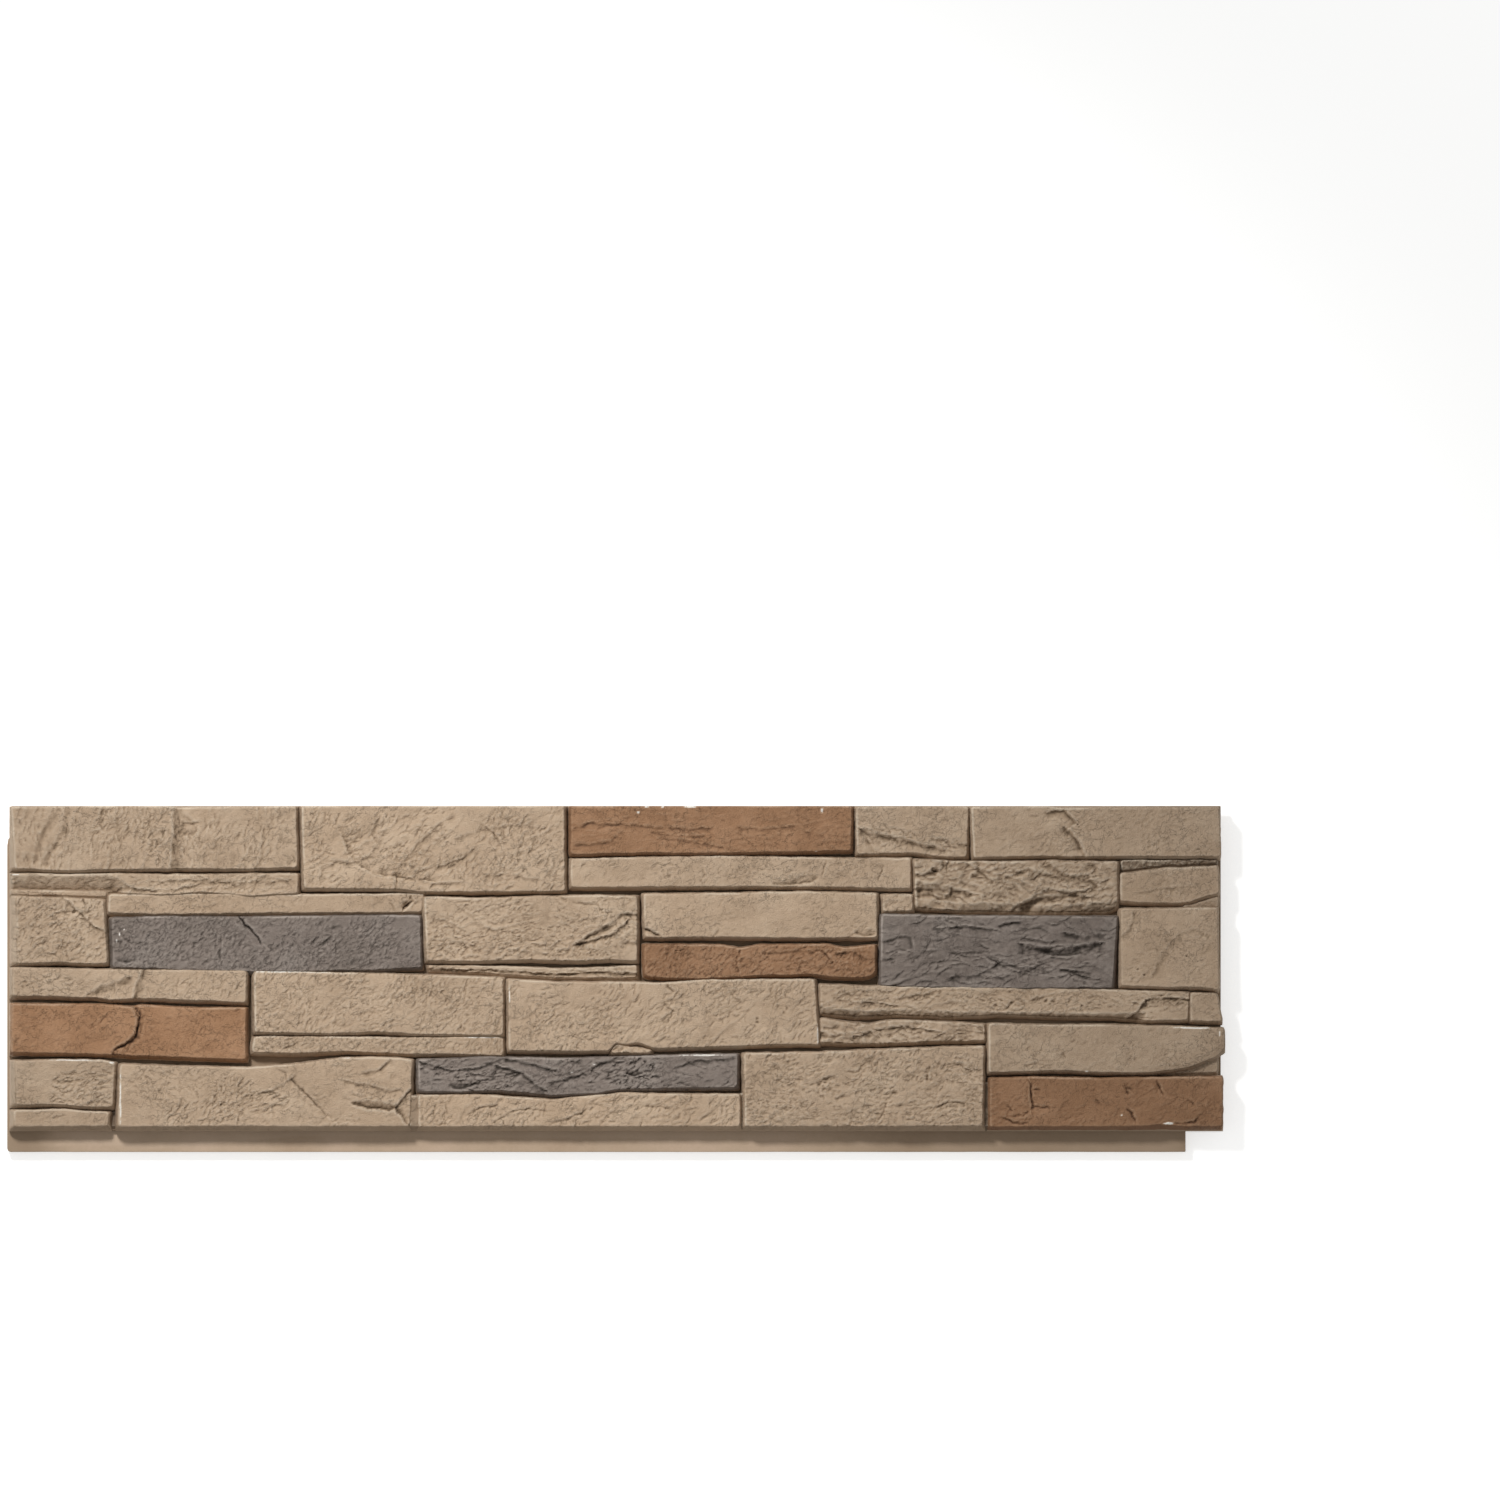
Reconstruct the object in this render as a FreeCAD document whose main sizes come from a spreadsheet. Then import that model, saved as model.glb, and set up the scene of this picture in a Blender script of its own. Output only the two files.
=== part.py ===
import FreeCAD, Part
import os
import Sketcher

# Faux stone wall panel, moulded in one piece.
# It lies on its flat back. X runs along the panel, Y from its bottom flange to its top edge,
# and Z from the back to the stone faces. The origin is in the middle of the back.
# Millimetres. Widths and heights of stones run from the middle of one joint to the next.

doc = FreeCAD.newDocument("StonePanel")
Vector = FreeCAD.Vector

# Driving dimensions
DIMENSIONS = {
    # The board behind the stones, with its shiplap edges
    "panel_length": 1080,
    "backing_thickness": 16,
    "flange_thickness": 11,
    "bottom_flange": 19,
    "left_flange": 4,
    "lap_clearance": 1,
    "top_lap": 28,
    "right_lap": 37,
    "flange_corner": 8,
    # The joints, and how far each stone's face stands in from its foot
    "joint_width": 1.5,
    "top_inset": 1.2,
    "under_inset": 4,
    "end_inset": 2.2,
    # The four courses at the left end, and how far each bed climbs to the right end
    "foot_height": 62.3,
    "foot_bed_climb": 16,
    "lower_height": 82.2,
    "lower_bed_climb": -22,
    "upper_height": 62.8,
    "upper_bed_climb": 7,
    "crown_height": 80,
    # Where a bed steps down to let a taller stone in
    "foot_bed_step": 27.4,
    "upper_bed_step": 22.7,
    "end_bed_step": 16,
    # Crown course
    "crown_1_width": 255.5,
    "crown_2_width": 236.4,
    "crown_3_width": 253.3,
    "crown_4_width": 102.5,
    "crown_sill_height": 20.4,
    "crown_row_height": 32.3,
    "crown_row_climb": -6.2,
    # Upper course
    "upper_1_width": 85.3,
    "upper_2_width": 278.9,
    "upper_3_width": 192.3,
    "upper_4_width": 210.8,
    "upper_5_width": 30.5,
    "upper_cap_height": 17.7,
    "upper_shim_height": 12,
    "upper_sill_height": 33.6,
    "end_stone_width": 96.5,
    # Lower course
    "lower_1_width": 211.3,
    "lower_2_width": 225.8,
    "lower_3_width": 276.7,
    "lower_4_width": 34.2,
    "lower_block_height": 49.4,
    "lower_sill_height": 19,
    "lower_row_height": 23.9,
    "lower_row_climb": -7.1,
    # Foot course
    "foot_1_width": 93.7,
    "foot_2_width": 263,
    "foot_3_width": 289.9,
    "foot_4_width": 216.2,
    "foot_shim_height": 19.6,
    "foot_sill_height": 32.3,
}

# Height of each stone's face above the back, at its lower left corner, and the lean of the face.
# A face with a positive lean rises towards its top edge.
RELIEF = {
    "crown_1": (32.2, 1.2),
    "crown_1_sill": (30.5, -2.0),
    "crown_2": (33.2, 1.0),
    "crown_3": (33.8, -1.5),
    "crown_4": (29.5, 3.0),
    "crown_5": (32.0, 1.5),
    "crown_6": (31.5, -1.0),
    "crown_7": (30.0, 2.5),
    "crown_8": (29.0, 2.0),
    "upper_1": (33.5, -1.0),
    "upper_2": (31.0, 1.5),
    "upper_2_cap": (28.5, 1.0),
    "upper_3": (33.0, 1.0),
    "upper_3_shim": (28.0, 1.5),
    "upper_4": (32.5, -1.0),
    "upper_4_sill": (33.8, -1.5),
    "upper_5": (28.5, 1.0),
    "upper_6": (31.0, 1.5),
    "upper_7": (33.0, -0.8),
    "lower_1": (32.5, -1.2),
    "lower_1_block": (33.0, 1.0),
    "lower_2": (33.5, -1.0),
    "lower_2_sill": (30.5, 1.0),
    "lower_3": (32.5, 1.0),
    "lower_4": (32.0, -1.5),
    "lower_5": (30.5, 1.0),
    "lower_6": (30.0, 1.5),
    "lower_7": (33.5, -1.2),
    "foot_1": (32.0, 1.0),
    "foot_1_shim": (30.0, -1.0),
    "foot_2": (33.0, 1.0),
    "foot_3": (32.5, -1.0),
    "foot_3_sill": (31.0, 1.0),
    "foot_4": (33.0, 1.0),
    "foot_5": (32.0, 1.5),
}

# Where the edge of a stone's face wanders from a straight line: the distance from the panel's left
# end, and how far the edge lifts there. "start" and "end" are the stone's own left and right ends.
WAVES = {
    "crown_1_under": [(48, -2.5), (206, -2.5), ("end", -1)],
    "crown_1_sill_under": [(111, -2.5), (136, -4.5), (171, -2), (215, -5.5), ("end", -3.5)],
    "crown_2_under": [(344, 0), (366, -3), ("end", -3)],
    "crown_3_under": [("start", -3), (569, -1), ("end", 3)],
    "crown_4_under": [(803, 1.5), (825, -1.5), ("end", -2)],
    "crown_6_top": [(574, 2), (630, 3.5), ("end", 3.5)],
    "crown_6_under": [(746, -1.5), ("end", -3)],
    "crown_7_top": [("start", 2.5), (887, 1.5), ("end", 2.5)],
    "crown_7_under": [("start", 5), (843, 1.5), (914, -1.5), (949, 2), (972, 4), ("end", 8)],
    "crown_8_top": [("start", -8), (1020, -3.5), ("end", -0.5)],
    "crown_8_under": [(1020, -1.5), (1046, -1), (1062, 4.5), ("end", 7)],
    "upper_1_top": [("start", 2), (48, 0.5), ("end", -1.5)],
    "upper_1_under": [(48, 1)],
    "upper_2_cap_top": [("start", 3), (171, 3.5), ("end", 2.5)],
    "upper_2_cap_under": [("start", -2.5), (144, -4), ("end", -3)],
    "upper_2_under": [("start", -3), (162, -5), (260, -3), (326, 0), ("end", 2.5)],
    "upper_3_top": [(418, -2.5), (490, -1)],
    "upper_3_under": [("start", -3), (418, -3), (463, -0.5), (534, 1)],
    "upper_3_shim_top": [(490, -1), ("end", 3.5)],
    "upper_3_shim_under": [(463, -3.5), (507, -4), ("end", -2.5)],
    "upper_4_top": [(702, 1.5)],
    "upper_4_under": [("start", 4), (578, 0), (702, 2), ("end", 4)],
    "upper_4_sill_top": [(630, 1), (648, -1.5), (666, 2), (728, 3.5), (741, 0.5), ("end", 4)],
    "upper_4_sill_under": [("start", 3), (572, -1), (613, -2), (666, 3), (714, 5), (728, 2), (754, 1.5),
                           (762, 6), ("end", 12)],
    "upper_6_top": [("start", 4), (843, 2)],
    "upper_6_under": [("start", -5), (870, -5.5), (922, -4.5), ("end", -3)],
    "upper_7_under": [(1024, -1.5), ("end", -2.5)],
    "lower_1_top": [("start", 2), ("end", 3)],
    "lower_1_under": [("start", 3), (78, 0.5), (92, -2.5), (114, -0.5), ("end", -6)],
    "lower_1_block_top": [("start", 2.5), (82, 1), (111, -2), (171, -3.5), ("end", -4)],
    "lower_1_block_under": [("start", 2.5), (90, -1), (154, -4.5), ("end", -7)],
    "lower_2_top": [("start", 3), (348, 3), ("end", 2)],
    "lower_2_under": [("start", -2.5), (286, -4), (326, -3.5), (366, -6), ("end", -8)],
    "lower_2_sill_top": [("start", 1), (366, -2), ("end", -3)],
    "lower_2_sill_under": [(260, -2.5), (299, -1), (348, -4), ("end", -7)],
    "lower_3_top": [(490, -1), (578, 0), (613, 3.5), ("end", 6)],
    "lower_3_under": [("start", -2.5), (524, -4.5), (532, -0.5), (542, 2.5), (560, 3.5), (578, -2.5),
                      (630, -2), ("end", -1)],
    "lower_4_top": [("start", 1.5), ("end", 1.5)],
    "lower_4_under": [("start", 2.5), (750, 0), (790, 2.5), (834, 1), (878, 4.5), (976, 4), (1011, 1.5),
                      ("end", 3)],
    "lower_5_under": [("start", 2), ("end", 2)],
    "lower_6_top": [("start", 4.5), (746, -0.5), (764, -2.5), (781, 4), (816, 4), ("end", 2.5)],
    "lower_6_under": [(772, -1.5)],
    "lower_7_top": [("start", 3), (966, 4), ("end", 2.5)],
    "lower_7_under": [(966, -2.5), (1011, -3), (1046, 1), (1066, 8), ("end", 16)],
    "foot_1_top": [("start", 1.5), (48, 2), ("end", -1)],
    "foot_1_under": [("start", -2), (74, -3.5), ("end", -3.5)],
    "foot_2_top": [("start", -3), (154, -5.5), (216, -7.5), (260, -4.5), (295, 0), (339, -0.5),
                   ("end", -2.5)],
    "foot_3_top": [("start", -2.5), (418, -1), (490, -3.5), ("end", -2)],
    "foot_3_under": [("start", -2), (436, -1), (480, -5.5), (524, -3.5), (542, 0), ("end", 1.5)],
    "foot_3_sill_top": [("start", 1), (418, 1.5), (480, -3), (542, 3), ("end", 2)],
    "foot_4_top": [("start", -1.5), (719, -1.5), (825, 1.5), ("end", 1.5)],
    "foot_5_top": [(914, 1), (966, -1)],
}

# The main splits in the faces, each a flat bed that a flake has left: its corners, measured from
# the panel's left end and bottom edge, its height above the back at the first corner, and how much
# it leans. A positive lean rises to the top edge, and a positive turn falls to the right.
FACETS = {
    "crown_1_step": ([(144.5, 248), (147, 265), (145.5, 278), (149, 291), (146.5, 308), (258, 308),
                      (258, 248)], 30.2, "turn", -1),
    "crown_1_sill_slant": ([(3, 224), (112, 224), (106, 246), (3, 246)], 24.5, "lean", 20),
    "crown_4_chip": ([(751, 260), (751, 290), (774, 280), (798, 272), (818, 267), (834, 259)],
                     27, "lean", 3),
    "crown_5_step": ([(918, 258), (918, 308), (934, 308), (935, 303), (945, 292), (939, 284),
                      (948, 275), (953, 258)], 32.4, "turn", 4),
    "crown_7_slant": ([(803, 214), (803, 227), (843, 223), (887, 224), (914, 221), (949, 224),
                       (983, 229), (983, 209)], 23.5, "lean", 30),
    "crown_7_step": ([(806, 229), (812, 246), (843, 238), (878, 241), (914, 235), (914, 222),
                      (887, 225), (843, 224)], 27.8, "lean", 6),
    "upper_1_step": ([(88, 194), (75.5, 203.5), (65, 210.5), (51, 228), (88, 228)], 31.2, "lean", -1),
    "upper_3_bite": ([(508, 184), (516, 181), (535, 192), (547, 206), (540, 210), (522, 200)],
                     29.4, "lean", 3),
    "upper_4_chip": ([(560, 201), (571, 197), (584, 187), (560, 187)], 28.8, "lean", 0),
    "upper_6_bite": ([(897, 171), (897, 181), (930, 184), (966, 190), (980, 188), (962, 176),
                      (930, 172)], 28.6, "lean", 2),
    "upper_6_step": ([(834, 142), (834, 157), (851, 158), (870, 157.5), (877, 163), (884, 142)],
                     29.4, "lean", 1),
    "lower_1_bite": ([(74, 141), (82, 139), (101, 153), (96, 160)], 30.2, "lean", 0),
    "lower_1_block_step": ([(89.5, 78), (102, 98), (113.5, 101.5), (116, 111.5), (119, 123),
                            (112.5, 134), (214, 134), (214, 78)], 29.4, "turn", -1.6),
    "lower_4_step": ([(986, 112), (999.5, 124.5), (1007.5, 134.5), (1019.5, 137), (1046, 136),
                      (1046, 112)], 29.2, "lean", 0),
    "lower_7_slant": ([(1000, 66), (1011, 78), (1046, 81), (1064, 89), (1081, 98), (1081, 66)],
                      28.6, "lean", 12),
    "foot_2_step": ([(361, 20), (342, 39), (361, 62)], 30, "turn", 1),
    "foot_2_bite": ([(304, 37), (325, 36), (344, 38), (343, 44), (325, 45), (306, 43)],
                    30.2, "lean", -2),
    "foot_3_ledge": ([(368, 62), (368, 72.5), (398, 69), (418, 75), (445, 79.5), (445, 70), (420, 64)],
                     30, "lean", 2),
    "foot_3_step": ([(490, 59), (476, 67), (490, 69), (507, 75), (528, 80.5), (560, 81.5), (560, 72),
                     (528, 68)], 29.8, "lean", 2),
    "foot_5_step": ([(896, 20), (902, 33), (908, 42), (905, 53), (904, 68), (936, 68), (936, 20)],
                    30.2, "turn", -3),
}

sheet = doc.addObject("Spreadsheet::Sheet", "Sizes")
for name, (rise, lean) in RELIEF.items():
    DIMENSIONS[f"{name}_rise"] = rise
    DIMENSIONS[f"{name}_lean"] = lean
for name, points in WAVES.items():
    for number, (position, lift) in enumerate(points):
        DIMENSIONS[f"{name}_{number}_lift"] = lift
        if position not in ("start", "end"):
            DIMENSIONS[f"{name}_{number}_from_left"] = position
for name, (corners, height, way, angle) in FACETS.items():
    DIMENSIONS[f"{name}_height"] = height
    DIMENSIONS[f"{name}_{way}"] = angle
    for number, (from_left, from_bottom) in enumerate(corners):
        DIMENSIONS[f"{name}_{number}_from_left"] = from_left
        DIMENSIONS[f"{name}_{number}_from_bottom"] = from_bottom
for row, (alias, value) in enumerate(DIMENSIONS.items(), start=1):
    sheet.set(f"A{row}", alias)
    sheet.set(f"B{row}", str(value))
    sheet.setAlias(f"B{row}", alias)
doc.recompute()

panel = doc.addObject("PartDesign::Body", "stone_panel")
panel.Label = "stone_panel"
back_plane = [plane for plane in panel.Origin.OriginFeatures if plane.Role == "XY_Plane"][0]


def size(alias):
    """The expression for a cell of the sheet."""
    return f"Sizes.{alias}"


LEAN_AXIS = Vector(1, 0, 0)
TURN_AXIS = Vector(0, 1, 0)


def outline(name, corners, place=("0", "0", "0"), lean=None, axis=LEAN_AXIS):
    """A closed sketch through the corners, which are pairs of expressions in the panel's frame."""
    sketch = panel.newObject("Sketcher::SketchObject", name)
    sketch.AttachmentSupport = [(back_plane, "")]
    sketch.MapMode = "FlatFace"
    for way, distance in zip("xyz", place):
        sketch.setExpression(f"AttachmentOffset.Base.{way}", distance)
    if lean:
        sketch.AttachmentOffset = FreeCAD.Placement(Vector(), FreeCAD.Rotation(axis, 1))
        sketch.setExpression("AttachmentOffset.Rotation.Angle", lean)
    count = len(corners)
    for index in range(count):
        turn = Vector(index % 3, index // 3, 0)
        sketch.addGeometry(Part.LineSegment(turn, turn + Vector(1, 1, 0)))
    for index in range(count):
        sketch.addConstraint(Sketcher.Constraint("Coincident", index, 2, (index + 1) % count, 1))
    for index, (x, y) in enumerate(corners):
        for kind, distance in (("DistanceX", x), ("DistanceY", y)):
            number = sketch.addConstraint(Sketcher.Constraint(kind, -1, 1, index, 1, 1.0))
            sketch.setExpression(f"Constraints[{number}]", distance)
    return sketch


# Layout: positions worked out from the dimensions
layout = doc.addObject("Spreadsheet::Sheet", "Layout")
layout_rows = iter(range(1, 400))


def place(alias, formula):
    """Keeps a position in the layout sheet and gives the expression for it."""
    row = next(layout_rows)
    layout.set(f"A{row}", alias)
    layout.set(f"B{row}", f"={formula}")
    layout.setAlias(f"B{row}", alias)
    return f"Layout.{alias}"


def joints(course, start, widths):
    """The middles of a course's upright joints, from its left end."""
    middles = [start]
    for width in widths:
        number = len(middles)
        middles.append(place(f"{course}_joint_{number}", f"{middles[-1]} + {size(width)}"))
    return middles


course_heights = " + ".join(size(f"{course}_height") for course in ("foot", "lower", "upper", "crown"))
top = place("panel_top", f"(Sizes.bottom_flange + {course_heights}) / 2")
bottom = place("panel_bottom", f"-{top}")
right = place("panel_right", "Sizes.panel_length / 2")
left = place("panel_left", f"-{right}")
stone_floor = place("stone_floor", f"{bottom} + Sizes.bottom_flange")
stone_left = place("stone_left", f"{left} + Sizes.left_flange")
end_joint = place("end_joint", f"{right} - Sizes.end_stone_width")

foot_line = place("foot_line", f"{stone_floor} + Sizes.foot_height")
lower_line = place("lower_line", f"{foot_line} + Sizes.lower_height")
upper_line = place("upper_line", f"{lower_line} + Sizes.upper_height")

crown_joints = joints("crown", stone_left, [f"crown_{number}_width" for number in range(1, 5)])
upper_joints = joints("upper", stone_left, [f"upper_{number}_width" for number in range(1, 6)])
lower_joints = joints("lower", stone_left, [f"lower_{number}_width" for number in range(1, 4)])
foot_joints = joints("foot", stone_left, [f"foot_{number}_width" for number in range(1, 5)])
lower_end_joint = place("lower_end_joint", f"{right} - Sizes.lower_4_width")


def level(height):
    """A bed at one height."""
    return lambda x: height


def bed(start, height, climb):
    """A straight bed from start to the panel's right end, which it reaches higher by climb."""
    return lambda x: f"({height} + {climb} * ({x} - {start}) / ({right} - {start}))"


def raised(line, height):
    """A bed at a set height above another, or below it where the height is negative."""
    return lambda x: f"({line(x)} + {height})"


base = level(stone_floor)
crest = level(top)
foot_bed = bed(stone_left, foot_line, "Sizes.foot_bed_climb")
lower_bed = bed(stone_left, lower_line, "Sizes.lower_bed_climb")
upper_bed = bed(stone_left, upper_line, "Sizes.upper_bed_climb")
foot_low_bed = raised(foot_bed, "-Sizes.foot_bed_step")
upper_low_bed = raised(upper_bed, "-Sizes.upper_bed_step")
upper_end_bed = raised(upper_bed, "-Sizes.end_bed_step")

crown_row_start = place("crown_row_start", f"{upper_bed(crown_joints[2])} + Sizes.crown_row_height")
crown_row = bed(crown_joints[2], crown_row_start, "Sizes.crown_row_climb")
lower_row_start = place("lower_row_start", f"{foot_bed(lower_joints[3])} + Sizes.lower_row_height")
lower_row = bed(lower_joints[3], lower_row_start, "Sizes.lower_row_climb")

# The board: a thin flange all over, and the thicker backing that carries the stones
flange_sketch = outline("flange_outline", [
    (left, bottom),
    (f"{right} - Sizes.right_lap", bottom),
    (f"{right} - Sizes.right_lap", f"{top} - Sizes.top_lap"),
    (left, f"{top} - Sizes.top_lap"),
])
flange = panel.newObject("PartDesign::Pad", "flange")
flange.Profile = flange_sketch
flange.setExpression("Length", "Sizes.flange_thickness")

backing_sketch = outline("backing_outline", [
    (stone_left, stone_floor),
    (right, stone_floor),
    (right, top),
    (stone_left, top),
])
backing = panel.newObject("PartDesign::Pad", "backing")
backing.Profile = backing_sketch
backing.setExpression("Length", "Sizes.backing_thickness")
doc.recompute()
whole_board = panel.Shape.Volume

# The rebate along the back of the top edge and the right end, which laps the next panel's flange
lap_sketch = outline("lap_outline", [
    (left, f"{top} - Sizes.top_lap"),
    (f"{right} - Sizes.right_lap", f"{top} - Sizes.top_lap"),
    (f"{right} - Sizes.right_lap", bottom),
    (right, bottom),
    (right, top),
    (left, top),
])
lap = panel.newObject("PartDesign::Pocket", "lap_rebate")
lap.Profile = lap_sketch
lap.Reversed = True
lap.setExpression("Length", "Sizes.flange_thickness + Sizes.lap_clearance")
doc.recompute()
if not panel.Shape.Volume < whole_board:
    raise ValueError("the lap rebate cut nothing")


def edges_near(x, y):
    """The names of the upright edges of the board at a corner."""
    return [
        f"Edge{number}"
        for number, edge in enumerate(panel.Shape.Edges, start=1)
        if all(abs(point.X - x) < 0.01 and abs(point.Y - y) < 0.01 for point in edge.Vertexes)
    ]


def corner(alias):
    """A layout value as a number."""
    return float(layout.get(alias))


flange_corner = panel.newObject("PartDesign::Fillet", "flange_corner")
flange_corner.Base = (lap, edges_near(corner("panel_left"), corner("panel_bottom")))
flange_corner.setExpression("Radius", "Sizes.flange_corner")
doc.recompute()


def edge_points(name, start, end, line, insets):
    """The points of a face's edge from left to right: its two ends, and where it wanders between."""
    half_joint, end_inset, edge_inset = insets
    lifts = {"start": "0", "end": "0"}
    between = []
    for number, (position, _) in enumerate(WAVES.get(name, [])):
        lift = size(f"{name}_{number}_lift")
        if position in lifts:
            lifts[position] = lift
        else:
            between.append((f"{left} + {size(f'{name}_{number}_from_left')}", lift))
    points = [(f"{start} + {half_joint} + {end_inset}", lifts["start"], start)]
    points += [(x, lift, x) for x, lift in between]
    points.append((f"{end} - {half_joint} - {end_inset}", lifts["end"], end))
    return [(x, f"{line(along)} {edge_inset} + {lift}") for x, lift, along in points]


def stone(name, start, end, floor, ceiling):
    """A stone between two joints and two beds: a drafted block with a leaning face."""
    half_joint = "Sizes.joint_width / 2"

    def ring(end_inset, under_inset, top_inset):
        """The corners, set in from the joints, and round the panel's top edge from no joint."""
        lower_inset = f"+ {half_joint} + {under_inset}"
        upper_inset = "- 0" if ceiling is crest else f"- {half_joint} - {top_inset}"
        under = edge_points(f"{name}_under", start, end, floor, (half_joint, end_inset, lower_inset))
        upper = edge_points(f"{name}_top", start, end, ceiling, (half_joint, end_inset, upper_inset))
        return under + upper[::-1]

    foot = outline(f"{name}_foot", ring("0", "0", "0"), place=("0", "0", "Sizes.backing_thickness"))
    face_ring = ring("Sizes.end_inset", "Sizes.under_inset", "Sizes.top_inset")
    face_x, face_y = face_ring[0]
    face = outline(
        f"{name}_face",
        [(f"({x}) - ({face_x})", f"({y}) - ({face_y})") for x, y in face_ring],
        place=(face_x, face_y, size(f"{name}_rise")),
        lean=size(f"{name}_lean"),
    )
    block = panel.newObject("PartDesign::AdditiveLoft", name)
    block.Profile = foot
    block.Sections = [face]
    block.Ruled = True
    block.Refine = False
    return block


def facet(name):
    """A split in a stone's face: everything over a flat, leaning bed is taken off."""
    corners, _, way, _ = FACETS[name]
    points = [
        (
            f"{left} + {size(f'{name}_{number}_from_left')}",
            f"{bottom} + {size(f'{name}_{number}_from_bottom')}",
        )
        for number in range(len(corners))
    ]
    first_x, first_y = points[0]
    split = panel.newObject("PartDesign::Pocket", name)
    split.Profile = outline(
        f"{name}_outline",
        [(f"({x}) - ({first_x})", f"({y}) - ({first_y})") for x, y in points],
        place=(first_x, first_y, size(f"{name}_height")),
        lean=size(f"{name}_{way}"),
        axis=LEAN_AXIS if way == "lean" else TURN_AXIS,
    )
    split.Reversed = True
    split.Refine = False
    split.setExpression("Length", "Sizes.backing_thickness")
    return split


# Crown course
stone("crown_1", crown_joints[0], crown_joints[1], raised(upper_bed, "Sizes.crown_sill_height"), crest)
stone("crown_1_sill", crown_joints[0], crown_joints[1], upper_bed,
      raised(upper_bed, "Sizes.crown_sill_height"))
stone("crown_2", crown_joints[1], crown_joints[2], upper_bed, crest)
stone("crown_3", crown_joints[2], crown_joints[3], crown_row, crest)
stone("crown_4", crown_joints[3], crown_joints[4], crown_row, crest)
stone("crown_5", crown_joints[4], right, crown_row, crest)
stone("crown_6", crown_joints[2], upper_joints[5], upper_bed, crown_row)
stone("crown_7", upper_joints[5], end_joint, upper_low_bed, crown_row)
stone("crown_8", end_joint, right, upper_end_bed, crown_row)

# Upper course
stone("upper_1", upper_joints[0], upper_joints[1], lower_bed, upper_bed)
stone("upper_2", upper_joints[1], upper_joints[2], lower_bed, raised(upper_bed, "-Sizes.upper_cap_height"))
stone("upper_2_cap", upper_joints[1], upper_joints[2],
      raised(upper_bed, "-Sizes.upper_cap_height"), upper_bed)
stone("upper_3", upper_joints[2], upper_joints[3], raised(lower_bed, "Sizes.upper_shim_height"), upper_bed)
stone("upper_3_shim", upper_joints[2], upper_joints[3], lower_bed,
      raised(lower_bed, "Sizes.upper_shim_height"))
stone("upper_4", upper_joints[3], upper_joints[4], raised(lower_bed, "Sizes.upper_sill_height"), upper_bed)
stone("upper_4_sill", upper_joints[3], upper_joints[4], lower_bed,
      raised(lower_bed, "Sizes.upper_sill_height"))
stone("upper_5", upper_joints[4], upper_joints[5], upper_low_bed, upper_bed)
stone("upper_6", upper_joints[4], end_joint, lower_bed, upper_low_bed)
stone("upper_7", end_joint, right, lower_bed, upper_end_bed)

# Lower course
stone("lower_1", lower_joints[0], lower_joints[1], raised(foot_bed, "Sizes.lower_block_height"), lower_bed)
stone("lower_1_block", lower_joints[0], lower_joints[1], foot_bed,
      raised(foot_bed, "Sizes.lower_block_height"))
stone("lower_2", lower_joints[1], lower_joints[2], raised(foot_bed, "Sizes.lower_sill_height"), lower_bed)
stone("lower_2_sill", lower_joints[1], lower_joints[2], foot_bed,
      raised(foot_bed, "Sizes.lower_sill_height"))
stone("lower_3", lower_joints[2], lower_joints[3], foot_bed, lower_bed)
stone("lower_4", lower_joints[3], lower_end_joint, lower_row, lower_bed)
stone("lower_5", lower_end_joint, right, lower_row, lower_bed)
stone("lower_6", lower_joints[3], foot_joints[4], foot_bed, lower_row)
stone("lower_7", foot_joints[4], right, foot_low_bed, lower_row)

# Foot course
stone("foot_1", foot_joints[0], foot_joints[1], raised(base, "Sizes.foot_shim_height"), foot_bed)
stone("foot_1_shim", foot_joints[0], foot_joints[1], base, raised(base, "Sizes.foot_shim_height"))
stone("foot_2", foot_joints[1], foot_joints[2], base, foot_bed)
stone("foot_3", foot_joints[2], foot_joints[3], raised(base, "Sizes.foot_sill_height"), foot_bed)
stone("foot_3_sill", foot_joints[2], foot_joints[3], base, raised(base, "Sizes.foot_sill_height"))
stone("foot_4", foot_joints[3], foot_joints[4], base, foot_bed)
stone("foot_5", foot_joints[4], right, base, foot_low_bed)
doc.recompute()
whole_stones = panel.Shape.Volume

# The main splits in the faces
for name in FACETS:
    facet(name)
doc.recompute()
if not panel.Shape.Volume < whole_stones:
    raise ValueError("the splits cut nothing")

# Every feature has to be sound before the panel is written
for item in doc.Objects:
    if "Invalid" in item.State or "Error" in item.State:
        raise ValueError(f"{item.Label} failed")
if panel.Shape.isNull() or not panel.Shape.isValid() or len(panel.Shape.Solids) != 1:
    raise ValueError("the panel isn't one sound solid")

os.makedirs("parts", exist_ok=True)
panel.Shape.exportStep(f"parts/{panel.Label}.step")
print("panel", panel.Shape.BoundBox, "volume", round(panel.Shape.Volume / 1e6, 4), "litres")
print("faces", len(panel.Shape.Faces))
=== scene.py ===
"""Looks of a faux stone wall panel.

One piece of rigid polyurethane foam, moulded as four courses of split ledge stone on a board with
a nailing flange, and painted. It lies on its back and the camera looks straight down on it.
Sizes are millimetres from the panel's lower left corner on its back, and become metres in the mesh.
"""

import logging
import math
from dataclasses import dataclass, field
from enum import Enum

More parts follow.
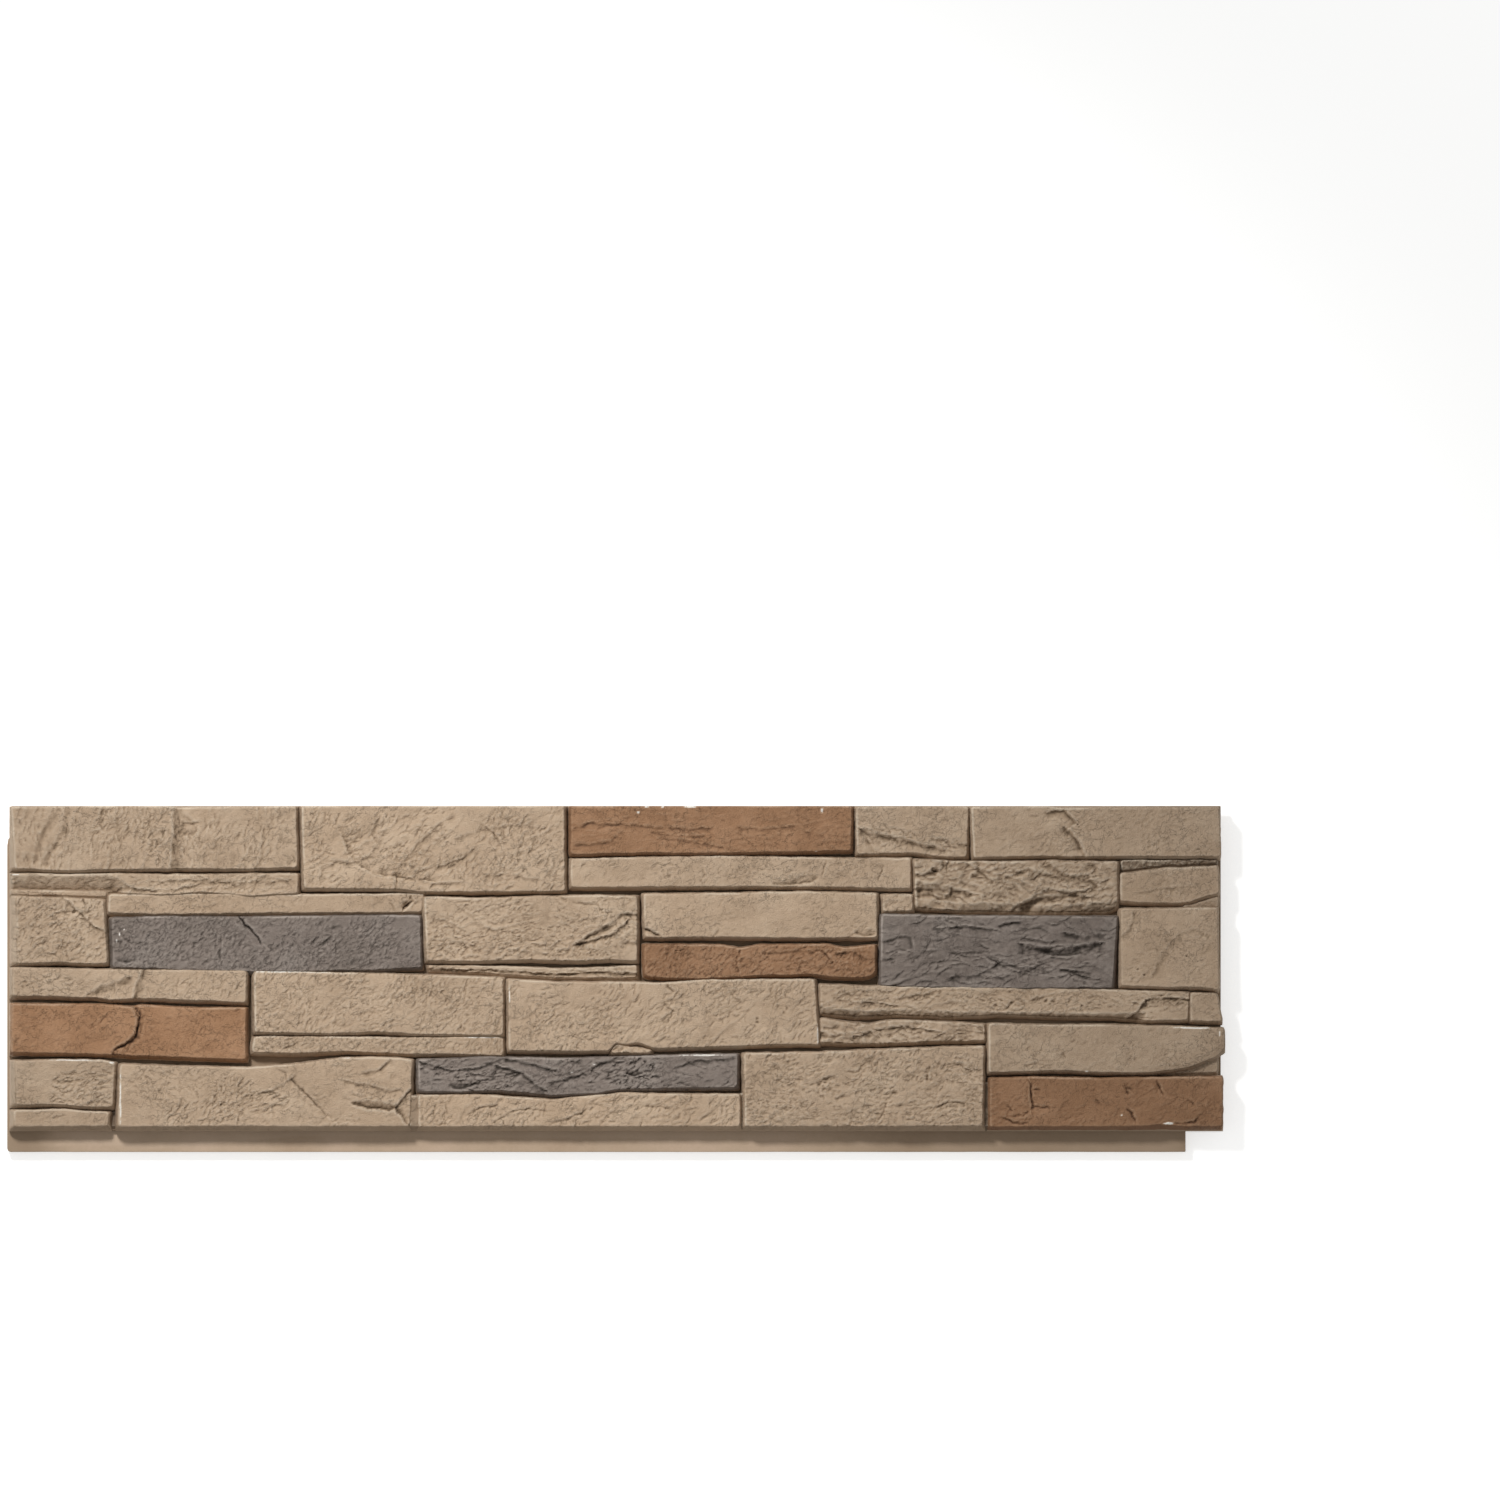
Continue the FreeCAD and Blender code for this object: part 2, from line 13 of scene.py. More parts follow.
import bpy
import numpy as np
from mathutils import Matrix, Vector


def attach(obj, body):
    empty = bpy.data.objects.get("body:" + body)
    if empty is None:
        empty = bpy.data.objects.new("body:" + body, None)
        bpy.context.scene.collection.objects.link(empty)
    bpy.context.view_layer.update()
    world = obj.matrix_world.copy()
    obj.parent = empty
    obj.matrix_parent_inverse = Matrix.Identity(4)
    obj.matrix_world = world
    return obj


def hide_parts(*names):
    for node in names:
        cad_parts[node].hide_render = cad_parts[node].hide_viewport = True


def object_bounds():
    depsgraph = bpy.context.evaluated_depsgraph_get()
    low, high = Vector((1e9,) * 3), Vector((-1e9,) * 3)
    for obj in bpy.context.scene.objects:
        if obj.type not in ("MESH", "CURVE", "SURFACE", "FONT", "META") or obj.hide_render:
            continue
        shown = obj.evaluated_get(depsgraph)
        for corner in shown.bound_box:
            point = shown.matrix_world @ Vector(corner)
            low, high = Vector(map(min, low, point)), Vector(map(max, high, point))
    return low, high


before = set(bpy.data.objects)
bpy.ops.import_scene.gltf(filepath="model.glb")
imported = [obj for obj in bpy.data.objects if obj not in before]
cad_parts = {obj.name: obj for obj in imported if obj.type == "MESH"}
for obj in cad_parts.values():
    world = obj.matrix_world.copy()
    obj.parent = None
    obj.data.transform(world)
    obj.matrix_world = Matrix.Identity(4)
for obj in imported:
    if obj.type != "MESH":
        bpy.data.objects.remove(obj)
CAD_LOW, CAD_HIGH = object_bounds()

logging.basicConfig(level=logging.INFO, format="%(message)s")
log = logging.getLogger("stone_panel")

MM = 0.001
NODE = "stone_panel"
BODY = "root"

Point = tuple[float, float]
Line = tuple[Point, ...]
Array = np.ndarray


# Noise

# Large odd numbers that scatter a lattice corner and a seed into a code, and the bits that are kept
SCATTER_X, SCATTER_Y, SCATTER_SEED, SCATTER_AGAIN = 374761393, 668265263, 974634777, 1274126177
WORD = 0xFFFFFFFF


def lattice_noise(x: Array, y: Array, seed: int) -> Array:
    """Gradient noise on a unit lattice.

    Args:
        x: First coordinates, in lattice cells.
        y: Second coordinates, in lattice cells.
        seed: Picks the pattern.

    Returns:
        Smooth values from about -1 to 1.
    """
    cell_x = np.floor(x).astype(np.int64)
    cell_y = np.floor(y).astype(np.int64)
    part_x = x - cell_x
    part_y = y - cell_y

    def pull(step_x: int, step_y: int) -> Array:
        """How strongly the slope at one lattice corner lifts each point.

        Args:
            step_x: 0 for the corners on the left of the points, 1 for those on their right.
            step_y: 0 for the corners under them, 1 for those over them.

        Returns:
            The lift at each point.
        """
        code = (cell_x + step_x) * SCATTER_X + (cell_y + step_y) * SCATTER_Y + seed * SCATTER_SEED
        code = ((code & WORD) ^ ((code & WORD) >> 13)) * SCATTER_AGAIN
        angle = ((code & WORD) ^ ((code & WORD) >> 16)) / 2**32 * math.tau
        return np.cos(angle) * (part_x - step_x) + np.sin(angle) * (part_y - step_y)

    blend_x = part_x**3 * (part_x * (part_x * 6 - 15) + 10)
    blend_y = part_y**3 * (part_y * (part_y * 6 - 15) + 10)
    low = pull(0, 0) * (1 - blend_x) + pull(1, 0) * blend_x
    high = pull(0, 1) * (1 - blend_x) + pull(1, 1) * blend_x
    return (low * (1 - blend_y) + high * blend_y) * 1.5


def layered_noise(x: Array, y: Array, size: float, seed: int, octaves: int = 4) -> Array:
    """Noise with finer layers, each half the size and height of the one before.

    Args:
        x: First coordinates, in millimetres.
        y: Second coordinates, in millimetres.
        size: Size of the largest lumps, in millimetres.
        seed: Picks the pattern.
        octaves: How many layers there are.

    Returns:
        Smooth values from about -1 to 1.
    """
    total = np.zeros_like(x, dtype=float)
    for octave in range(octaves):
        total += 0.5**octave * lattice_noise(x / size * 2**octave, y / size * 2**octave, seed + octave)
    return total / (2 - 0.5 ** (octaves - 1))


def roughened(x: Array, y: Array, reach: float, size: float, seed: int) -> tuple[Array, Array]:
    """Points pushed about at random, so that a line drawn among them breaks up like split stone."""
    return x + reach * layered_noise(x, y, size, seed), y + reach * layered_noise(x, y, size, seed + 50)


def smooth(value: Array) -> Array:
    """An even rise from 0 to 1 as the value goes from 0 to 1."""
    held = np.clip(value, 0, 1)
    return held * held * (3 - 2 * held)


def beside(x: Array, y: Array, line: Line) -> tuple[Array, Array, Array]:
    """Where points lie beside a line.

    Args:
        x: First coordinates.
        y: Second coordinates.
        line: The line's points, in walking order.

    Returns:
        The distance, positive on the right hand; the share of the way along the line; and how far
        past either of its ends a point lies.
    """
    legs = list(zip(line, line[1:]))
    lengths = [math.dist(start, end) for start, end in legs]
    nearest = np.full(x.shape, np.inf)
    signed = np.zeros(x.shape)
    along = np.zeros(x.shape)
    past = np.zeros(x.shape)
    walked = 0.0
    for number, ((start, end), length) in enumerate(zip(legs, lengths)):
        ahead_x, ahead_y = (end[0] - start[0]) / length, (end[1] - start[1]) / length
        reach = (x - start[0]) * ahead_x + (y - start[1]) * ahead_y
        held = np.clip(reach, 0, length)
        away = np.hypot(x - start[0] - held * ahead_x, y - start[1] - held * ahead_y)
        right = (x - start[0]) * ahead_y - (y - start[1]) * ahead_x
        closer = away < nearest
        nearest = np.where(closer, away, nearest)
        signed = np.where(closer, np.where(right >= 0, away, -away), signed)
        along = np.where(closer, (walked + held) / sum(lengths), along)
        before = np.maximum(-reach, 0) if number == 0 else np.zeros(x.shape)
        after = np.maximum(reach - length, 0) if number == len(legs) - 1 else np.zeros(x.shape)
        past = np.where(closer, before + after, past)
        walked += length
    return signed, along, past


# The least and the most of what differs from chip to chip: shares of the usual length and depth, how
# far a chip runs out beyond its edge, in millimetres, and how much the edge bows for half its length
CHIP_LENGTHS = (0.6, 2.6)
CHIP_DEPTHS = (0.3, 1.0)
CHIP_RUNOUTS = (0.6, 2.0)
CHIP_BOWS = (-0.4, 0.4)

# How far a chip's edge wavers, how quickly it does, and how wide the edge's steep side is
CHIP_WAVER = 0.35
CHIP_WAVES = 4.5
CHIP_RISER = 0.7


def strokes(x: Array, y: Array, middles: Array, headings: Array, length: float, height: float,
            seed: int) -> Array:
    """How much small chips take off a face: each is deepest at one sharp edge and runs out beyond it.

    Args:
        x: First coordinates of the face's points, in rows and columns.
        y: Their second coordinates.
        middles: The middle of each chip's edge.
        headings: The way each edge runs, in radians.
        length: Usual length of an edge.
        height: The most that a chip takes off.
        seed: Picks the chips' shapes.

    Returns:
        The depth at each point.
    """
    dice = np.random.default_rng(seed)
    columns, rows = x.mean(axis=0), y.mean(axis=1)
    taken = np.zeros(x.shape)
    for (middle_x, middle_y), heading in zip(middles, headings):
        half = 0.5 * length * dice.uniform(*CHIP_LENGTHS)
        deep = height * dice.uniform(*CHIP_DEPTHS)
        runout = dice.uniform(*CHIP_RUNOUTS)
        bow, phase = dice.uniform(*CHIP_BOWS), dice.uniform(0, math.tau)
        reach = half + 2.2 * runout
        west, east = np.searchsorted(columns, (middle_x - reach, middle_x + reach))
        south, north = np.searchsorted(rows, (middle_y - reach, middle_y + reach))
        part = slice(south, north), slice(west, east)
        away_x, away_y = x[part] - middle_x, y[part] - middle_y
        along = (away_x * math.cos(heading) + away_y * math.sin(heading)) / half
        across = away_x * math.sin(heading) - away_y * math.cos(heading)
        across = across + bow * half * along**2 + CHIP_WAVER * np.sin(CHIP_WAVES * along + phase)
        edge = smooth(across / CHIP_RISER + 0.5) * np.exp(-np.maximum(across, 0) / runout)
        taken[part] = np.maximum(taken[part], deep * edge * np.clip(1 - along**2, 0, 1))
    return taken


# Marks on a stone's face

class Mark:
    """Something that takes a little off a stone's face."""

    def depth(self, x: Array, y: Array, seed: int) -> Array:
        """How much the mark takes off.

        Args:
            x: First coordinates of the face's points, in millimetres.
            y: Their second coordinates.
            seed: Picks what is left to chance in it.

        Returns:
            The depth at each point.
        """
        raise NotImplementedError


@dataclass(frozen=True)
class Break(Mark):
    """A step where a flake has come off: the right-hand side of the line is lower.

    Fields:
        line: The line of the step, in walking order.
        drop: Height of the step.
        ramp: How far the lower side takes to rise back to the face.
        riser: Width of the step's steep side.
        ragged: How far the step strays from its line.
        fade: How far past the line's ends it dies out.
    """

    line: Line
    drop: float
    ramp: float
    riser: float = 0.9
    ragged: float = 1.9
    fade: float = 7.0

    def depth(self, x: Array, y: Array, seed: int) -> Array:
        """As for any mark: how deep the step and its tread are."""
        away, _, past = beside(*roughened(x, y, self.ragged, 8, seed), self.line)
        riser = smooth(away / self.riser + 0.4)
        tread = np.clip(1 - np.maximum(away, 0) / self.ramp, 0, 1) ** 1.3
        varied = np.clip(0.9 + 1.3 * layered_noise(x, y, 14, seed + 80, 3), 0.25, 1.35)
        varied = 0.9 + (varied - 0.9) * np.exp(-np.maximum(away, 0) / 5)
        return self.drop * varied * riser * tread * np.clip(1 - past / self.fade, 0, 1)


@dataclass(frozen=True)
class Crack(Mark):
    """A narrow groove, one lip of it a little higher than the other.

    Fields:
        line: The line of the groove.
        depth_mm: How deep it is at its middle.
        half_width: Half its width.
        sunk_lip: How far the face sinks on its right-hand side, as a share of its depth.
        ragged: How far the groove strays from its line.
    """

    line: Line
    depth_mm: float
    half_width: float = 0.85
    sunk_lip: float = 0.45
    ragged: float = 1.7

    def depth(self, x: Array, y: Array, seed: int) -> Array:
        """As for any mark: how deep the groove and its sunk lip are."""
        away, along, _ = beside(*roughened(x, y, self.ragged, 6, seed), self.line)
        strength = self.depth_mm * np.sqrt(np.clip(4 * along * (1 - along), 0.05, 1))
        strength = strength * np.clip(0.9 + 1.1 * layered_noise(x, y, 9, seed + 70, 2), 0.25, 1.3)
        groove = np.exp(-((away / self.half_width) ** 2))
        lip = self.sunk_lip * np.clip(1 - np.abs(away - 2.2) / 3.4, 0, 1)
        return strength * (groove + lip)


@dataclass(frozen=True)
class Hollow(Mark):
    """A bite out of the face, which slopes down from its upper edge and ends sharply at its lower one.

    Fields:
        centre: The middle of the bite.
        radii: Half its length and half its height.
        depth_mm: How deep it is.
        turn: Degrees that its length is turned from the panel's length.
    """

    centre: Point
    radii: Point
    depth_mm: float
    turn: float = 0.0

    def depth(self, x: Array, y: Array, seed: int) -> Array:
        """As for any mark: how deep the bite is."""
        turn = math.radians(self.turn)
        away_x, away_y = x - self.centre[0], y - self.centre[1]
        long_way = (away_x * math.cos(turn) + away_y * math.sin(turn)) / self.radii[0]
        short_way = (away_y * math.cos(turn) - away_x * math.sin(turn)) / self.radii[1]
        long_way = long_way + 0.35 * layered_noise(x, y, 11, seed, 3)
        short_way = short_way + 0.45 * layered_noise(x, y, 9, seed + 50, 3)
        inside = 1 - long_way**2 - short_way**2
        slope = np.clip(0.55 - 0.55 * short_way, 0, 1)
        crumbs = 1 + 0.35 * layered_noise(x, y, 5, seed + 90, 3)
        return self.depth_mm * smooth(inside * 1.8) * slope * crumbs


@dataclass(frozen=True)
class Bevel(Mark):
    """A sloped fall on the right-hand side of a line, as where an edge has split off at a slant.

    Fields:
        line: Where the slope begins.
        slope: Fall for each millimetre away from the line.
        limit: The most that it falls.
        ragged: How far up and down the slope's beginning strays from the line.
        fade: How far past the line's ends it dies out.
    """

    line: Line
    slope: float
    limit: float
    ragged: float = 0.9
    fade: float = 8.0

    def depth(self, x: Array, y: Array, seed: int) -> Array:
        """As for any mark: how far the slope falls."""
        away, _, past = beside(x, y + self.ragged * layered_noise(x, y, 9, seed, 3), self.line)
        fall = np.clip(np.maximum(away, 0) * self.slope, 0, self.limit)
        return fall * np.clip(1 - past / self.fade, 0, 1)


@dataclass(frozen=True)
class Pits(Mark):
    """A patch of small holes that air bubbles left in the casting.

    Fields:
        centre: The middle of the patch.
        radii: Half the patch's length and half its height.
        count: How many holes there are.
        size: Radius of a hole.
    """

    centre: Point
    radii: Point
    count: int
    size: float = 0.9

    def depth(self, x: Array, y: Array, seed: int) -> Array:
        """As for any mark: how deep the holes are."""
        dice = np.random.default_rng(seed)
        taken = np.zeros(x.shape)
        for _ in range(self.count):
            angle, share = dice.uniform(0, math.tau), math.sqrt(dice.uniform(0, 1))
            hole_x = self.centre[0] + self.radii[0] * share * math.cos(angle)
            hole_y = self.centre[1] + self.radii[1] * share * math.sin(angle)
            size = self.size * dice.uniform(0.7, 1.5)
            away = np.hypot((x - hole_x) * dice.uniform(0.5, 1), y - hole_y) / size
            taken = np.maximum(taken, 1.1 * size * np.exp(-(away**2)))
        return taken


@dataclass(frozen=True)
class Chatter(Mark):
    """A patch of chips side by side, where the hammer glanced off.

    Fields:
        centre: The middle of the patch.
        radii: Half the patch's length and half its height.
        count: How many chips there are.
        length: Length of a chip's edge.
        height: The most that a chip takes off.
        heading: The way the edges run, in degrees.
    """

    centre: Point
    radii: Point
    count: int
    length: float = 6.0
    height: float = 1.0
    heading: float = 35.0

    def depth(self, x: Array, y: Array, seed: int) -> Array:
        """As for any mark: how deep the chips are."""
        dice = np.random.default_rng(seed)
        angles, shares = dice.uniform(0, math.tau, self.count), np.sqrt(dice.uniform(0, 1, self.count))
        spots = np.stack([np.cos(angles), np.sin(angles)], -1) * shares[:, None] * self.radii
        headings = math.radians(self.heading) + dice.normal(0, 0.32, self.count)
        return strokes(x, y, spots + self.centre, headings, self.length, self.height, seed + 1)


# How the stones are split

# Size of the lumps of each kind of unevenness, and of the patches that the flakes and chips lie in,
# in millimetres
SWELL_MM = 55
DUNE_MM = 19
CRUMB_MM = 4
FLAKE_PATCH_MM = 30
CHIP_PATCH_MM = 26


@dataclass(frozen=True)
class CleftShape:
    """The relief of a split face, in millimetres.

    Fields:
        swell: Height of the broad unevenness.
        dune: Height of the middling unevenness.
        flake: Height of the broken edge of a flake.
        size: Distance from one such edge to the next.
        fall: The way the flakes step down, in degrees from the panel's length.
        drawn: How much longer than wide a flake is.
        order: How far the flakes follow each other in rows, from 0 to 1.
        chip: Height of the small chips' sharp edges.
        chip_length: Length of such an edge.
        cover: Share of the face that has flakes and chips.
        crumb: Height of the coarse grain.
    """

    swell: float
    dune: float
    flake: float
    size: float
    fall: float
    drawn: float
    order: float
    chip: float
    chip_length: float
    cover: float
    crumb: float

    def flakes(self, x: Array, y: Array, seed: int) -> Array:
        """One layer of flakes, each of which rises gently and then drops sharply.

        Args:
            x: First coordinates of the face's points.
            y: Their second coordinates.
            seed: Picks the pattern.

        Returns:
            The rise at each point, from 0 to 1.
        """
        fall = math.radians(self.fall)
        down = x * math.cos(fall) + y * math.sin(fall)
        side = y * math.cos(fall) - x * math.sin(fall)
        lumps = layered_noise(down, side / self.drawn, self.size * 2.4, seed, 3)
        ragged = layered_noise(x, y, self.size * 0.5, seed + 5, 2)
        level = self.order * down / self.size + 1.6 * lumps + 0.14 * ragged
        part = level - np.floor(level)
        return np.where(part < 0.8, part / 0.8, smooth((1 - part) / 0.2))

    def chips(self, x: Array, y: Array, seed: int) -> Array:
        """The small chips that are strewn over a face, in crowds.

        Args:
            x: First coordinates of the face's points.
            y: Their second coordinates.
            seed: Picks where they are.

        Returns:
            How much they take off at each point.
        """
        dice = np.random.default_rng(seed)
        low, high = np.array([x.min(), y.min()]), np.array([x.max(), y.max()])
        count = int(np.prod(high - low) / (0.52 * self.chip_length) ** 2)
        middles = dice.uniform(low, high, (count, 2))
        crowd = smooth(self.cover + 1.8 * layered_noise(*middles.T, CHIP_PATCH_MM, seed + 20, 3))
        middles = middles[dice.uniform(0, 1, count) < crowd]
        turns = math.radians(self.fall + 90) + 0.9 * layered_noise(*middles.T, 60, seed + 8, 2)
        turns = turns + dice.normal(0, 0.3, len(middles))
        return strokes(x, y, middles, turns, self.chip_length, self.chip, seed + 9)

    def relief(self, x: Array, y: Array, seed: int) -> Array:
        """The whole relief of a face.

        Args:
            x: First coordinates of the face's points.
            y: Their second coordinates.
            seed: Picks the pattern.

        Returns:
            The height over the face's plane at each point.
        """
        height = self.swell * layered_noise(x, y * 1.5, SWELL_MM, seed, 3)
        height = height + self.dune * layered_noise(x, y * 1.3, DUNE_MM, seed + 10, 3)
        patchy = smooth(self.cover + 2.0 * layered_noise(x, y, FLAKE_PATCH_MM, seed + 20, 3))
        height = height + self.flake * patchy * (self.flakes(x, y, seed + 40) - 0.5)
        height = height + 0.4 * self.chip - self.chips(x, y, seed + 70)
        return height + self.crumb * layered_noise(x, y, CRUMB_MM, seed + 60, 2)


class Cleft(Enum):
    """The kinds of split face on the panel, each with its sizes in the order of CleftShape's fields."""

    SMOOTH = CleftShape(0.9, 0.6, 0.4, 12, -60, 1.5, 0.5, 0.8, 5.5, 0.12, 0.08)
    RIPPLED = CleftShape(1.0, 0.7, 0.5, 8, -52, 1.7, 0.8, 1.45, 4.5, 0.58, 0.12)
    CHATTERED = CleftShape(1.1, 0.8, 0.6, 11, -48, 2.2, 0.6, 1.5, 6.0, 0.45, 0.10)
    COMBED = CleftShape(1.2, 1.1, 0.8, 13, -12, 4.5, 0.7, 1.3, 6.0, 0.32, 0.10)
    SWIRLED = CleftShape(1.3, 1.1, 0.7, 12, -75, 1.8, 0.5, 1.7, 4.2, 0.48, 0.10)
    LAYERED = CleftShape(1.2, 0.9, 0.8, 9, -82, 3.8, 0.6, 1.6, 7.0, 0.48, 0.12)
    SEAMED = CleftShape(0.9, 0.7, 0.5, 8, -86, 4.5, 0.7, 0.8, 8.0, 0.35, 0.10)
    BOLD = CleftShape(1.8, 1.6, 1.5, 13, -84, 4.5, 0.6, 2.1, 10, 0.40, 0.14)
    ROUGH = CleftShape(2.2, 2.6, 2.4, 12, -78, 1.9, 0.45, 2.2, 6.5, 0.68, 0.25)


class Paint(Enum):
    """What colour a face of the mesh is painted, as its number in the mesh's paint attribute."""

    TAN = 0
    BROWN = 1
    GREY = 2
    BARE = 3


# The stones

@dataclass(frozen=True)
class Stone:
    """One stone of the moulding.

    Fields:
        name: Its place: the course, the column and what it is there.
        top: The upper edge of its face, from left to right.
        under: The lower edge of its face, from left to right.
        rise: Height of its face above the panel's back, at the lower left corner.
        lean: Degrees that the face rises towards its top edge.
        cleft: How its face is split.
        paint: The colour of its face.
        tint: How much lighter or darker it is than its paint, as a share; on a few low stones in shade, a
            darker tint is painted shade.
        marks: Its own breaks, cracks, bites, bevels, holes and patches of chips.
        scuffs_and_edge_highlights: Spots where the paint has come off, and thin painted highlights along lit
            top edges, both in foam colour: the middle, half the length and half the height of each.
        seed: Picks its relief.
    """

    name: str
    top: Line
    under: Line
    rise: float
    lean: float = 0.0
    cleft: Cleft = Cleft.CHATTERED
    paint: Paint = Paint.TAN
    tint: float = 0.0
    marks: tuple[Mark, ...] = ()
    scuffs_and_edge_highlights: tuple[tuple[float, float, float, float], ...] = ()
    seed: int = 1


